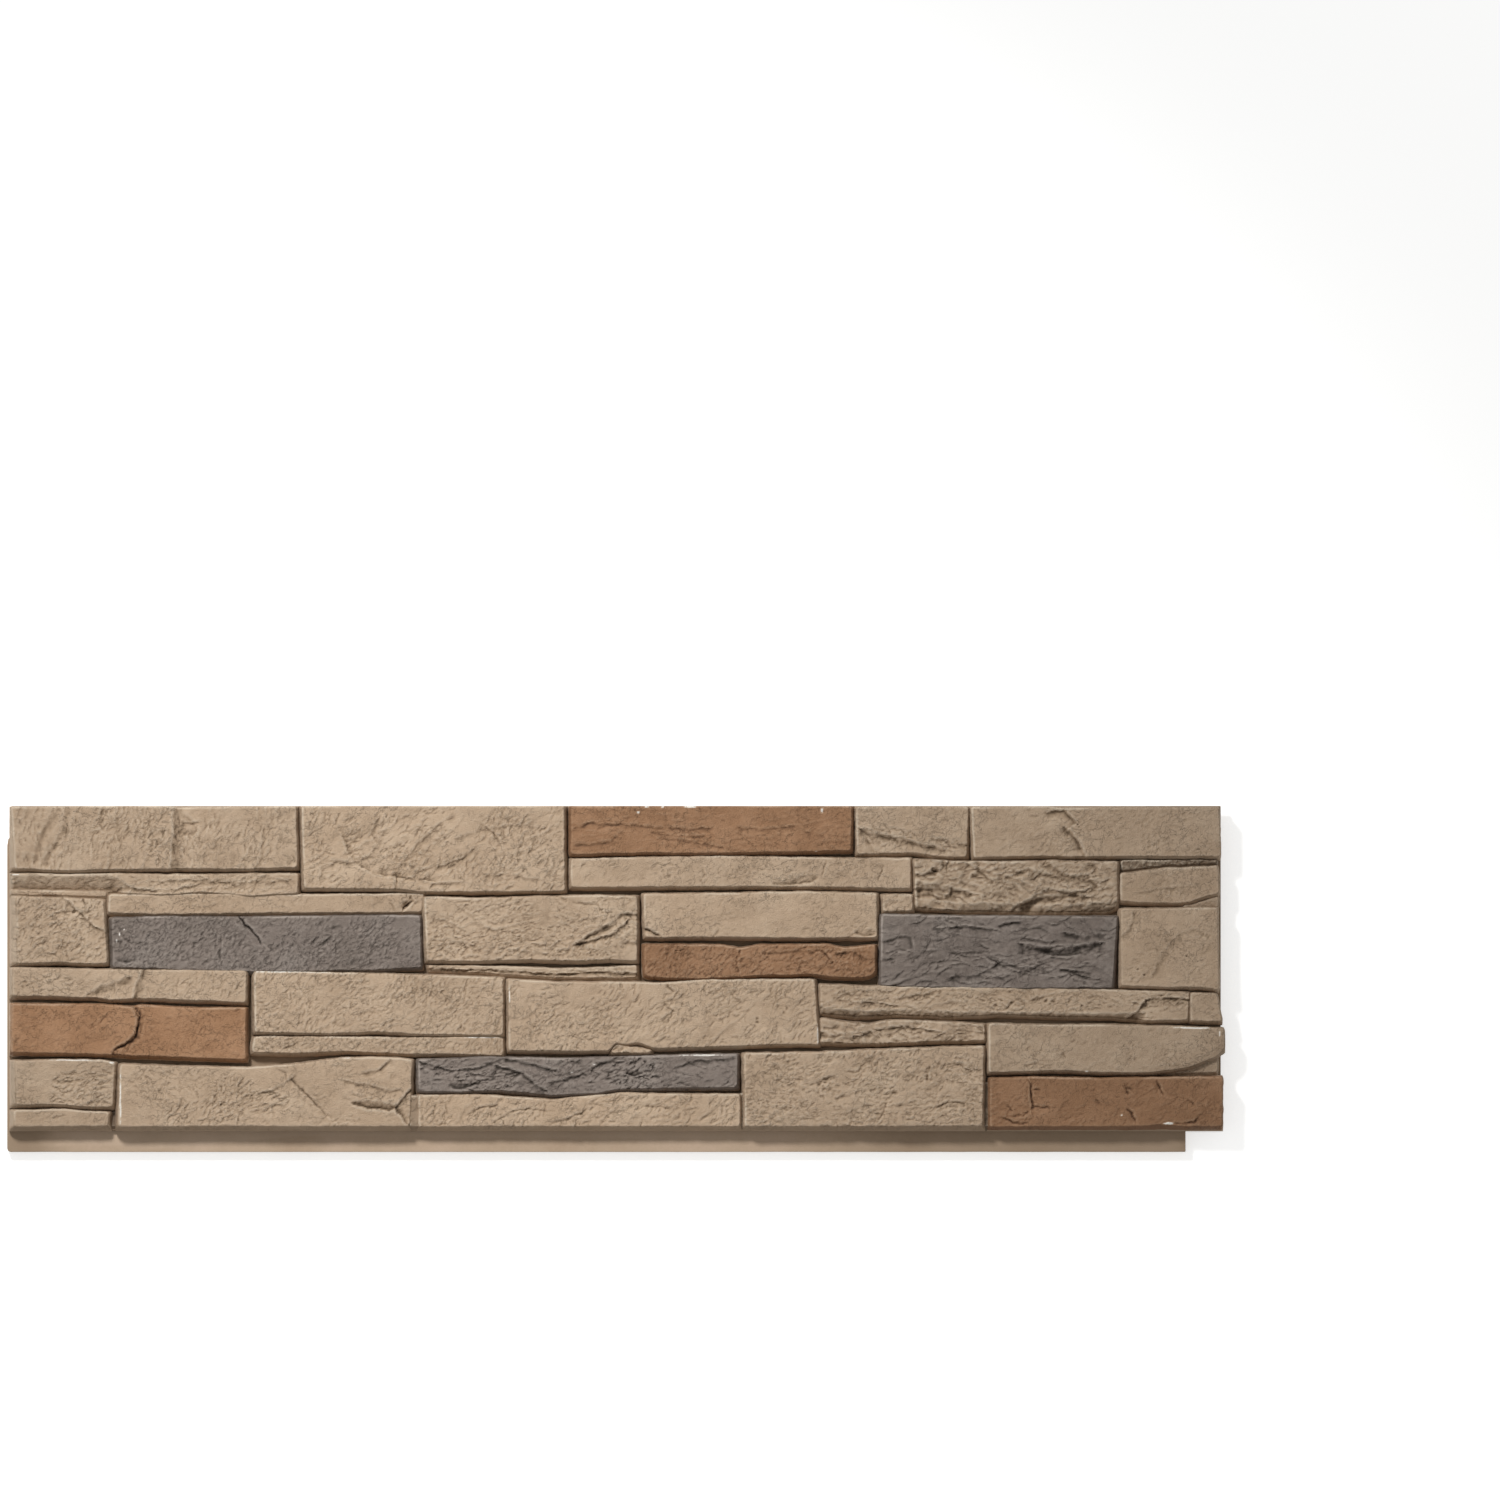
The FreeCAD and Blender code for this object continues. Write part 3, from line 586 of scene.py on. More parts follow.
CROWN_STONES = (
    Stone("crown_1", ((4, 305), (74, 306.5), (147, 306), (151.5, 304.5), (256, 306)),
          ((7.5, 251), (47.5, 249), (127, 250.5), (151.5, 251), (206.5, 250.5), (257, 252)),
          33.0, 1.0, Cleft.COMBED, tint=-0.03, seed=11, marks=(
              Break(((147.5, 308), (148, 293), (149.5, 284), (146, 272), (147.5, 262), (146.5, 249)),
                    -1.4, 26, 3),
              Break(((146.5, 249), (147.5, 262), (146, 272), (149.5, 284), (148, 293), (149.5, 308)),
                    3.2, 22, 9),
              Hollow((158, 288), (9, 12), 1.5, 70),
              Break(((24, 259), (27, 275), (34, 288), (42.5, 304)), 2.4, 9, 6),
              Break(((32, 257), (37, 266), (44, 274), (49, 286), (51, 300)), 2.2, 8, 5),
              Break(((84, 286), (80, 291), (84, 301.5)), 1.4, 7, 2),
              Chatter((92, 286), (16, 16), 60, 5, 1.5, 50), Chatter((130, 281), (14, 16), 46, 5, 1.3, 45),
              Chatter((182, 285), (7, 7), 10, 4, 0.8, 60),
              Crack(((141, 286), (137, 278)), 1.8), Crack(((138.5, 275.5), (132, 270)), 1.5),
              Crack(((153, 291), (163, 290.5), (172.5, 291)), 1.0))),
    Stone("crown_1_sill",
          ((3, 246.5), (47.5, 246), (105, 246.5), (162, 245.5), (215.5, 246.5), (257.5, 246.5)),
          ((6.5, 231.5), (82.5, 230.5), (111, 229), (135.5, 227.5), (171, 230), (215.5, 227), (257.5, 229)),
          30.5, -2.0, Cleft.LAYERED, tint=-0.02, seed=12, marks=(
              Bevel(((7, 245), (47.5, 244), (96, 244.5), (104, 238)), 0.8, 10),
              Break(((113.5, 233.5), (128, 231.5), (153.5, 233), (165, 236)), 1.8, 10),
              Break(((130, 240), (160, 241), (197.5, 238.5), (250.5, 240.5)), 1.3, 9)),
          scuffs_and_edge_highlights=((8, 245.4, 3, 0.3),)),
    Stone("crown_1_foot", ((4, 231.8), (47.5, 231.5), (88, 230.5)), ((5, 227.6), (47.5, 227.2), (88, 225.8)),
          27.0, 4.0, Cleft.SMOOTH, seed=48),
    Stone("crown_2", ((261, 306), (348, 306.5), (418.5, 306.5), (493, 306.5)),
          ((263, 233.5), (343.5, 233), (365.5, 230.5), (436.5, 230.5), (493.5, 231)),
          33.2, 1.0, Cleft.CHATTERED, tint=0.05, seed=13, marks=(
              Break(((378, 239), (348, 243), (327.5, 246), (311.5, 252), (303.5, 261.5), (297.5, 277.5)),
                    1.8, 22, 1.5),
              Crack(((343, 229), (345, 240), (343, 250)), 1.6),
              Break(((302, 255.5), (318, 260), (328, 272), (322, 281), (327, 293)), 1.1, 12, 2),
              Crack(((418.5, 291.5), (431, 281), (436.5, 273)), 1.2),
              Break(((277, 243), (279, 251), (294, 258), (303, 256)), 1.2, 8, 2),
              Break(((383, 253), (402, 260), (412.5, 268.5)), 1.5, 10, 1.5),
              Break(((348, 243), (362, 241.5), (378, 238), (400, 238.5)), 1.8, 6, 1.5),
              Break(((355, 262), (366, 275), (382, 290)), 1.3, 9, 2),
              Break(((398, 278), (420, 285), (447, 290), (470, 288)), 0.9, 9, 2),
              Break(((425, 244), (445, 246), (470, 241)), 1.0, 8, 2),
              Chatter((322, 271), (20, 16), 60, 5, 1.3, 35), Chatter((365, 268), (26, 20), 70, 6, 1.3, 45),
              Chatter((455, 275), (26, 20), 60, 6, 1.1, 35))),
    Stone("crown_3", ((499, 306.5), (613, 306.5), (747.5, 306)),
          ((499, 263.5), (569, 265), (613, 264.5), (701.5, 266), (746.5, 267)),
          33.8, -1.5, Cleft.SEAMED, Paint.BROWN, tint=0.02, seed=14, marks=(
              Break(((503, 287), (515.5, 291.5), (543, 290.5), (574.5, 287.5), (604, 286), (622, 287.5)),
                    1.4, 8, 2),
              Break(((504, 272), (520, 273), (534, 275), (542, 282)), 1.1, 8, 2),
              Break(((572, 283), (590, 280.5), (615, 279.5)), 1.1, 7, 2),
              Break(((584, 278), (606, 275), (631, 270)), 1.1, 8, 2),
              Break(((650, 287), (670, 286), (694, 288.5)), 1.3, 7, 2),
              Chatter((530, 283), (22, 8), 16, 8, 0.8, 0), Chatter((600, 280), (30, 8), 18, 9, 0.8, -6)),
          scuffs_and_edge_highlights=((558.5, 300.5, 1.6, 0.8),
                  (604, 305.4, 5, 0.9), (721, 302.5, 0.8, 2), (566, 305.5, 1.5, 0.6),
                  (580, 305.5, 1.0, 0.6), (716, 265.5, 1.4, 0.7))),
    Stone("crown_4", ((751, 305.5), (850.5, 305.5)),
          ((752, 263.5), (803, 265), (825, 261.5), (849, 261)),
          29.5, 3.0, Cleft.SMOOTH, tint=-0.02, seed=15, marks=(
              Break(((757, 286), (772, 281), (790, 277.5), (812, 271.5), (827, 269)), 3.8, 17, 4.5),
              Break(((762, 275.5), (768.5, 266), (789.5, 264)), 1.4, 6, 2),
              Break(((819, 277.5), (829.5, 275.5), (848.5, 272)), 1.4, 5, 2),
              Break(((821, 272), (835.5, 271), (848.5, 269)), 1.2, 5, 2),
              Chatter((780, 279), (24, 8), 70, 5, 1.8, -20), Chatter((836, 272), (14, 6), 34, 4, 1.6, -10))),
    Stone("crown_5", ((853, 305), (920.5, 306), (934, 304), (984.5, 305), (1072, 304.5)),
          ((855.5, 260.5), (905, 262), (953.5, 261.5), (1011, 262), (1073.5, 261.5)),
          32.0, 1.5, Cleft.SMOOTH, tint=-0.03, seed=16, marks=(
              Break(((920.5, 300.5), (935, 303), (945.5, 291.5), (938.5, 286)), 2.4, 11, 2.5),
              Break(((937, 286), (947, 277), (951, 268), (955, 259)), 3.6, 16, 3.5),
              Chatter((1014, 275), (15, 7), 20, 3.5, 1.0, 50))),
    Stone("crown_6", ((499, 259.5), (573.5, 261), (630.5, 262), (745.5, 260), (799.5, 260)),
          ((499, 234.5), (595.5, 235), (666, 235), (745.5, 234.5), (799.5, 233)),
          31.5, -1.0, Cleft.SMOOTH, tint=0.02, seed=17, marks=(
              Hollow((699, 240.5), (22, 4.5), 2.0, 8),
              Chatter((697, 243), (26, 7), 34, 5, 1.3, 25), Chatter((735, 249), (26, 8), 20, 5, 0.9, 40),
              Crack(((614, 251), (618, 246), (613, 239)), 0.9),
              Crack(((507, 252), (513, 256)), 0.9), Crack(((584, 249), (586.5, 243)), 0.9),
              Crack(((724.5, 256.5), (721, 244)), 0.9), Crack(((775.5, 253), (770.5, 240.5)), 0.9))),
    Stone("crown_7", ((803, 259), (838.5, 257.5), (887, 257), (922.5, 258), (982.5, 257)),
          ((804, 216.5), (843, 213.5), (887, 213), (913.5, 212.5), (949, 213), (975.5, 213.5), (982, 217)),
          31.0, 2.0, Cleft.ROUGH, tint=-0.1, seed=18, marks=(
              Break(((806, 234), (822, 235.5), (838, 232.5), (850, 229)), 7.0, 22, 6),
              Break(((900, 220.5), (918, 226), (934, 230.5), (952, 227)), 7.5, 24, 7),
              Hollow((821, 250), (4, 2.5), 5.5),
              Break(((818, 247.5), (829, 243), (840, 241), (856, 236)), 2.2, 12, 3),
              Break(((862, 250), (876, 245), (892, 243), (905, 236)), 2.4, 12, 3),
              Break(((925, 254), (936, 246), (952, 243), (965, 236)), 2.6, 12, 3),
              Break(((848, 256), (862, 248), (872, 240)), 2.2, 10, 2),
              Bevel(((807.5, 223.5), (843, 220.5), (887, 220), (913.5, 217.5), (978, 221)), 0.8, 7))),
    Stone("crown_8", ((985, 246.5), (1019.5, 251), (1071, 253)),
          ((985, 222), (1019.5, 220), (1046, 221), (1062, 226.5), (1072.5, 229)),
          29.0, 2.0, Cleft.SMOOTH, seed=19, marks=(
              Crack(((997.5, 228), (1024, 232.5), (1055, 235)), 0.7),)),
    # Its dark tint is painted shade under the stone above it.
    Stone("crown_8_wedge", ((985.5, 258), (1071, 258.5)), ((985.5, 249), (1019.5, 253.5), (1071, 256)),
          27.0, 8.0, Cleft.RIPPLED, tint=-0.5, seed=20,
          marks=(Chatter((1025, 256), (42, 3), 50, 8, 1.8, -4),)),
    Stone("crown_8_heel", ((1040, 218.2), (1052, 220), (1062, 223.5), (1072, 226.5)),
          ((1040, 216), (1072, 216.5)),
          25.0, 4.0, Cleft.SMOOTH, tint=-0.15, seed=40),
)

UPPER_STONES = (
    Stone("upper_1", ((8.5, 226.5), (47.5, 225), (85.5, 223.5)),
          ((9.5, 167), (47.5, 168.5), (65, 167), (89, 167)),
          33.5, -1.0, Cleft.RIPPLED, seed=21, marks=(
              Break(((50, 226), (58.5, 218), (68, 208.5), (78, 200), (88, 194)), 2.2, 16, 1.2),
              Chatter((48, 200), (30, 20), 80, 6, 1.7, 35), Chatter((60, 178), (22, 8), 30, 5, 1.5, 30),
              Hollow((59.5, 212.8), (1.6, 3), 2.6, -30),
              Crack(((67, 225), (69.5, 218)), 1.1))),
    Stone("upper_2_cap", ((90.5, 228), (171, 229), (259.5, 228), (369, 229)),
          ((89.5, 211.5), (144.5, 210.5), (215.5, 211.5), (303.5, 212), (352, 212), (367, 213)),
          28.5, 1.0, Cleft.SMOOTH, seed=22, marks=(
              Crack(((356, 228), (359.5, 222), (352, 217), (349, 212)), 3.2),
              Hollow((352, 218), (5, 3.5), 2.5, 40),
              Chatter((360, 220), (8, 7), 12, 4, 1.6, 60),
              Crack(((338, 222), (344, 214)), 0.9))),
    Stone("upper_2", ((92.5, 207), (135.5, 208.5), (204.5, 208), (286, 209), (365.5, 209.5)),
          ((94, 163.5), (127, 163), (162, 160), (259.5, 160), (326, 161.5), (366.5, 163.5)),
          31.0, 1.5, Cleft.RIPPLED, Paint.GREY, seed=23, marks=(
              Break(((232, 180), (224, 186), (217.5, 195), (204, 209)), 1.6, 22, 2),
              Crack(((202, 211), (217.5, 195), (226, 184)), 4.2),
              Hollow((106.5, 171.5), (12, 5), 1.8),
              Break(((110, 183), (99, 193), (96, 204)), 1.2, 6, 2),
              Crack(((114.5, 207), (120, 200)), 1.0), Crack(((190, 190), (188, 176), (190, 164)), 0.9),
              Break(((268, 178), (280, 186), (286, 191)), 1.2, 9, 2),
              Chatter((125, 178), (28, 14), 80, 5, 1.4, 40), Chatter((180, 180), (30, 18), 90, 6, 1.2, 45),
              Chatter((310, 182), (48, 20), 150, 6, 1.3, 35)),
          scuffs_and_edge_highlights=((100, 193, 0.5, 1.3), (97.5, 187, 0.4, 1.2), (104, 197, 0.5, 0.4))),
    Stone("upper_3", ((369.5, 226), (418.5, 224.5), (480.5, 226.5), (524.5, 227), (557.5, 226.5)),
          ((371.5, 169.5), (418.5, 169), (463, 170.5), (507, 169), (533.5, 170.5), (557.5, 169)),
          33.0, 1.0, Cleft.SWIRLED, tint=0.02, seed=24, marks=(
              Break(((506, 186), (525, 197.5), (536, 204), (543, 210), (560, 211.5)), 4.2, 10, 3.5),
              Break(((506, 185), (520, 188.5), (534, 192), (543, 199), (548, 203)), 3.6, 7, 2),
              Break(((370, 204), (382, 206), (396, 201), (405, 196)), 1.3, 8, 2),
              Break(((400, 217), (414, 208), (424, 198), (436, 195)), 1.2, 10, 3),
              Chatter((395, 183), (22, 11), 80, 5, 1.6, 25),
              Chatter((435, 187), (34, 12), 130, 5.5, 1.7, 10),
              Chatter((478, 178), (18, 6), 34, 5, 1.4, 0), Chatter((500, 177), (30, 3), 30, 6, 1.6, -8),
              Crack(((500, 221), (523, 218.5), (528, 210.5)), 1.0),
              Break(((540.5, 183), (548.5, 186.5), (560, 185)), 1.3, 10, 3))),
    Stone("upper_3_shim", ((372.5, 165.5), (436.5, 164.5), (489.5, 162.5), (524.5, 163.5), (557.5, 165.5)),
          ((374.5, 161), (418.5, 159), (463, 155.5), (507, 154), (557.5, 154.5)),
          28.0, 1.5, Cleft.LAYERED, seed=25, marks=(
              Break(((374.5, 162.5), (436.5, 161), (489.5, 157.5), (524.5, 160), (557.5, 158)), 3.4, 12),)),
    Stone("upper_4", ((563.5, 228.5), (613, 229), (701.5, 230.5), (769.5, 229)),
          ((564.5, 190.5), (577.5, 190), (630.5, 190.5), (701.5, 189.5), (769.5, 190)),
          32.5, -1.0, Cleft.SMOOTH, tint=0.06, seed=26, marks=(
              Crack(((561, 198.5), (568, 196.5), (579, 190.5)), 2.6),
              Break(((561, 198.5), (568, 196.5), (579, 190)), 1.6, 9, 2),
              Hollow((760, 194), (11, 4), 2.2), Chatter((755, 197), (14, 6), 14, 5, 1.2, 20),
              Crack(((623.5, 189), (630.5, 198)), 0.6))),
    Stone("upper_4_sill",
          ((563.5, 184),
           (630.5, 183.5), (648.5, 180.5), (666, 183.5), (728, 184), (741, 180.5), (768, 183.5)),
          ((564.5, 157), (569, 155), (613, 153.5), (666, 156.5), (714.5, 157.5), (728, 155), (757, 154.5),
           (764, 156), (768, 159.5)),
          33.8, -1.5, Cleft.RIPPLED, Paint.BROWN, tint=-0.02, seed=27, marks=(
              Crack(((712, 178.5), (719, 178.5), (727, 172.5), (731.5, 166)), 1.5),
              Crack(((648.5, 180.5), (645, 169.5), (647.5, 159)), 1.2),
              Break(((735, 176), (748, 178), (760, 172)), 2.0, 9, 2),
              Chatter((600, 170), (36, 12), 90, 5.5, 1.3, 38),
              Chatter((690, 170), (70, 12), 150, 6, 1.2, 30),
              Break(((675, 177), (701.5, 178.5), (712, 177.5)), 1.2, 10, 2))),
    Stone("upper_5", ((774.5, 228), (801, 228)), ((775, 213), (801, 213.5)),
          28.5, 1.0, Cleft.RIPPLED, seed=28),
    Stone("upper_6", ((773.5, 210.5), (843, 209), (982, 208.5)),
          ((773, 147.5), (816.5, 146), (869.5, 145), (922.5, 145), (978, 145.5)),
          31.6, 1.2, Cleft.BOLD, Paint.GREY, tint=-0.06, seed=29, marks=(
              Break(((900, 184), (915, 181), (930, 179), (945, 181.5), (966, 185)), 6.5, 17, 5),
              Hollow((932, 177), (22, 3.5), 2.5),
              Break(((938, 193.5), (952, 190.5), (968, 192)), 3.6, 11, 4),
              Break(((836, 198.5), (850, 200), (871, 196.5)), 2.6, 8, 2),
              Break(((879, 201), (890, 203), (902, 202)), 2.0, 7, 2),
              Break(((776, 187), (790, 191), (800, 190), (802, 180), (788, 177)), 1.7, 10, 2.5),
              Break(((838, 155), (859.5, 157), (875.5, 166.5), (868, 171.5)), 2.4, 9, 2),
              Break(((877, 166.5), (897, 163.5), (917, 164)), 2.2, 8, 2),
              Crack(((834, 176.5), (855, 176), (876, 178)), 1.0),
              Break(((934, 162), (945, 160), (957, 159.5)), 2.6, 5, 1.5),
              Break(((900, 190), (918, 186), (930, 187)), 2.0, 9, 2),
              Chatter((800, 166), (22, 12), 12, 8, 1.4, 30), Chatter((930, 160), (40, 12), 30, 9, 1.8, 0),
              Chatter((890, 196), (60, 9), 30, 10, 1.7, -4))),
    Stone("upper_7", ((985.5, 215.5), (1028.5, 215.5), (1071, 216.5)),
          ((985.5, 147.5), (1024, 146), (1055, 146), (1072, 144)),
          33.0, -0.8, Cleft.SMOOTH, seed=30, marks=(
              Break(((1015, 158), (1017, 166), (1021, 174), (1034, 190)), 1.5, 16, 4),
              Break(((986, 191), (993, 197), (996, 210)), 1.6, 10, 3),
              Break(((1040, 194), (1052, 197), (1062, 193)), 0.8, 9, 3),
              Hollow((1043.5, 173.5), (1.1, 1.1), 2), Hollow((1000.5, 162), (1, 1), 2),
              Hollow((1006, 157), (1, 1), 2),
              Chatter((1000, 155), (12, 6), 10, 5, 0.9, 30))),
)

LOWER_STONES = (
    Stone("lower_1", ((5.5, 163.5), (47.5, 162.5), (100.5, 161.5), (212, 160.5)),
          ((5, 138.5), (78, 137), (91.5, 134.5), (113.5, 136.5), (211.5, 132.5)),
          32.5, -1.2, Cleft.SMOOTH, tint=0.02, seed=31, marks=(
              Break(((74, 141), (84, 145.5), (96, 149.5), (107, 153.5)), 3.2, 16, 6),
              Break(((120, 162), (118, 154), (113.5, 145), (112, 134)), -1.0, 10, 2),
              Break(((112, 134), (113.5, 145), (118, 154), (120, 162)), 2.6, 18, 3.5),
              Chatter((40, 148), (28, 8), 44, 5, 1.5, 10), Chatter((180, 148), (26, 9), 40, 7, 1.3, 55),
              Crack(((151.5, 154.5), (150, 138)), 0.9))),
    Stone("lower_1_block", ((5, 131.5), (82.5, 131), (111, 128.5), (118, 130), (171, 127.5), (211.5, 128)),
          ((4, 88.5), (47.5, 87.5), (89.5, 86.5), (153.5, 84), (211.5, 82)),
          33.0, 1.0, Cleft.SMOOTH, Paint.BROWN, tint=0.16, seed=32, marks=(
              Break(((90, 85), (98, 93), (110, 99.5), (114, 103), (116, 112), (117.5, 121), (111, 132)),
                    4.0, 95),
              Crack(((95, 90), (110, 99), (114, 104), (117, 119), (111.5, 130)), 3.4),
              Chatter((98, 90), (12, 5), 10, 4, 1.1, 30), Crack(((72, 108), (82.5, 115), (89.5, 122)), 0.8),
              Crack(((201, 124), (208, 128)), 1.2))),
    Stone("lower_2", ((219, 160), (286, 159), (348, 157.5), (439, 154.5)),
          ((219.5, 106), (286, 105), (326, 106.5), (365.5, 104.5), (439, 103.5)),
          33.5, -1.0, Cleft.RIPPLED, tint=0.03, seed=33, marks=(
              Crack(((400, 106), (402.5, 113)), 0.9), Crack(((341, 135.5), (351.5, 139)), 0.8)),
          # The long thin spot along the top edge is a painted highlight.
          scuffs_and_edge_highlights=((285, 159.6, 50, 0.5),)),
    Stone("lower_2_sill", ((219, 102.5), (286, 102), (365.5, 101.5), (439, 102)),
          ((217, 88.5), (259.5, 87.5), (299, 89.5), (348, 87), (392, 87), (439, 85.5)),
          30.5, 1.0, Cleft.RIPPLED, tint=0.02, seed=34, marks=(
              Crack(((243.5, 91), (251.5, 93.5), (257.5, 99)), 1.1),
              Crack(((247, 96.5), (251.5, 93.5)), 0.8)),
          # The long thin spot along the top edge is a painted highlight.
          scuffs_and_edge_highlights=((420, 101.7, 14, 0.5),)),
    Stone("lower_3",
          ((443.5, 153), (489.5, 150.5), (560, 150.5), (577.5, 149.5), (613, 152.5), (714.5, 153)),
          ((444, 90),
           (524.5, 89.5), (532, 89.5), (539, 97), (547, 95), (558.5, 97.5), (571, 92.6), (577.5, 92),
           (630.5, 93.5),
           (692.5, 96), (718, 95)),
          32.5, 1.0, Cleft.CHATTERED, tint=0.07, seed=35, marks=(
              Crack(((545, 122), (553, 133.5)), 1.2),
              Crack(((573.5, 125.5), (582, 131), (590, 124.5), (584, 115)), 1.4),
              Crack(((583, 148.5), (590, 141.5)), 1.4),
              Crack(((638.5, 142.5), (645, 136), (653, 131)), 0.9),
              Pits((663.5, 116.5), (2, 2), 3)),
          scuffs_and_edge_highlights=((444.7, 140, 0.3, 7), (717.4, 106, 0.5, 9))),
    Stone("lower_3_plug", ((535, 91.5), (540, 95.2), (547, 93.8), (556, 93), (570, 90.5)),
          ((535, 87.6), (570, 88)),
          31.4, 1.0, Cleft.SWIRLED, tint=0.07, seed=49,
          marks=(Chatter((549, 91), (16, 4), 40, 4, 1.6, 10),)),
    Stone("lower_4", ((719, 148.5), (790, 146.5), (878.5, 145.5), (966.5, 144), (1046, 141.5)),
          ((720, 123), (750, 120), (790, 121.5), (834, 119.5), (878.5, 122), (931.5, 120), (975.5, 119.5),
           (1011, 116.5), (1044.5, 117)),
          32.0, -1.5, Cleft.LAYERED, tint=-0.03, seed=36, marks=(
              Break(((737, 134.5), (775.5, 131.5), (798.5, 129)), 1.5, 8),
              Break(((790, 136), (803, 139), (821, 142.5)), 1.2, 8),
              Bevel(((722.5, 128), (754.5, 125), (790, 126), (825, 124), (1000, 123)), 1.1, 7),
              Chatter((800, 122.5), (78, 3), 70, 7, 2.0, 3),
              Break(((986, 115), (999.5, 124.5), (1007.5, 134.5), (1019.5, 137), (1047, 135.5)), 3.0, 45),
              Pits((891.5, 132.5), (45, 3), 8), Chatter((775, 136), (45, 7), 70, 6, 1.6, 5),
              Chatter((1018, 134), (26, 5), 60, 5, 1.9, 15), Chatter((900, 130), (70, 8), 90, 6, 1.2, 25),
              Crack(((878.5, 124), (885.5, 128), (891.5, 134.5)), 1.1))),
    Stone("lower_5", ((1047, 141), (1070, 140.5)), ((1047, 116), (1075, 115.5)),
          30.5, 1.0, Cleft.SMOOTH, tint=-0.02, seed=37),
    Stone("lower_6", ((720, 118.5), (745.5, 115), (763.5, 113.5), (781, 117), (816.5, 116), (865, 113.5)),
          ((720, 97), (772, 96), (816.5, 98), (865, 99)),
          30.0, 1.5, Cleft.ROUGH, tint=-0.05, seed=38, marks=(
              Break(((750, 102.5), (772, 108), (790, 111.5), (825, 107)), 1.9, 9),
              Crack(((794.5, 101.5), (812, 108)), 0.9))),
    Stone("lower_7", ((868.5, 114), (922.5, 112.5), (966.5, 113), (1028.5, 111.5), (1076.5, 109.5)),
          ((868.5, 70.5), (931.5, 72.5), (966.5, 70.5), (1011, 70.5), (1046, 75), (1069, 84), (1077.5, 92)),
          33.5, -1.2, Cleft.SMOOTH, tint=-0.1, seed=39, marks=(
              Bevel(((1011, 76), (1046, 80.5), (1064, 88.5), (1074.5, 97)), 0.25, 3),
              Crack(((899.5, 76), (910, 78.5), (920.5, 77)), 0.9),
              Crack(((933, 88.5), (937.5, 83)), 0.9),
              Bevel(((874, 102.5), (931.5, 101.5), (984.5, 105), (984.5, 116)), -0.05, 1)),
          # The long thin spot along the top edge is a painted highlight; the others are where the paint has
          # come off.
          scuffs_and_edge_highlights=((1050, 110, 16, 0.5), (1072.5, 105, 0.3, 2), (955, 71.5, 1.2, 0.4))),
    Stone("lower_7_heel", ((1024, 73), (1046, 75), (1060, 80), (1071, 87)),
          ((1024, 70.2), (1046, 70), (1071, 70.5)),
          26.0, 3.0, Cleft.SMOOTH, tint=-0.2, seed=50),
)

# The filled joints between the foot stones: the left, right and top of each, its rise and its tint, whose
# darkness is painted shade in the joint
FOOT_JOINTS = (
    (88, 100.5, 36, 20.0, -0.55),
    (355.5, 365.5, 50, 29.0, -0.25),
    (647.5, 654, 52, 27.0, -0.6),
    (862, 870.5, 62, 27.0, -0.6),
)
JOINT_END = 22.8

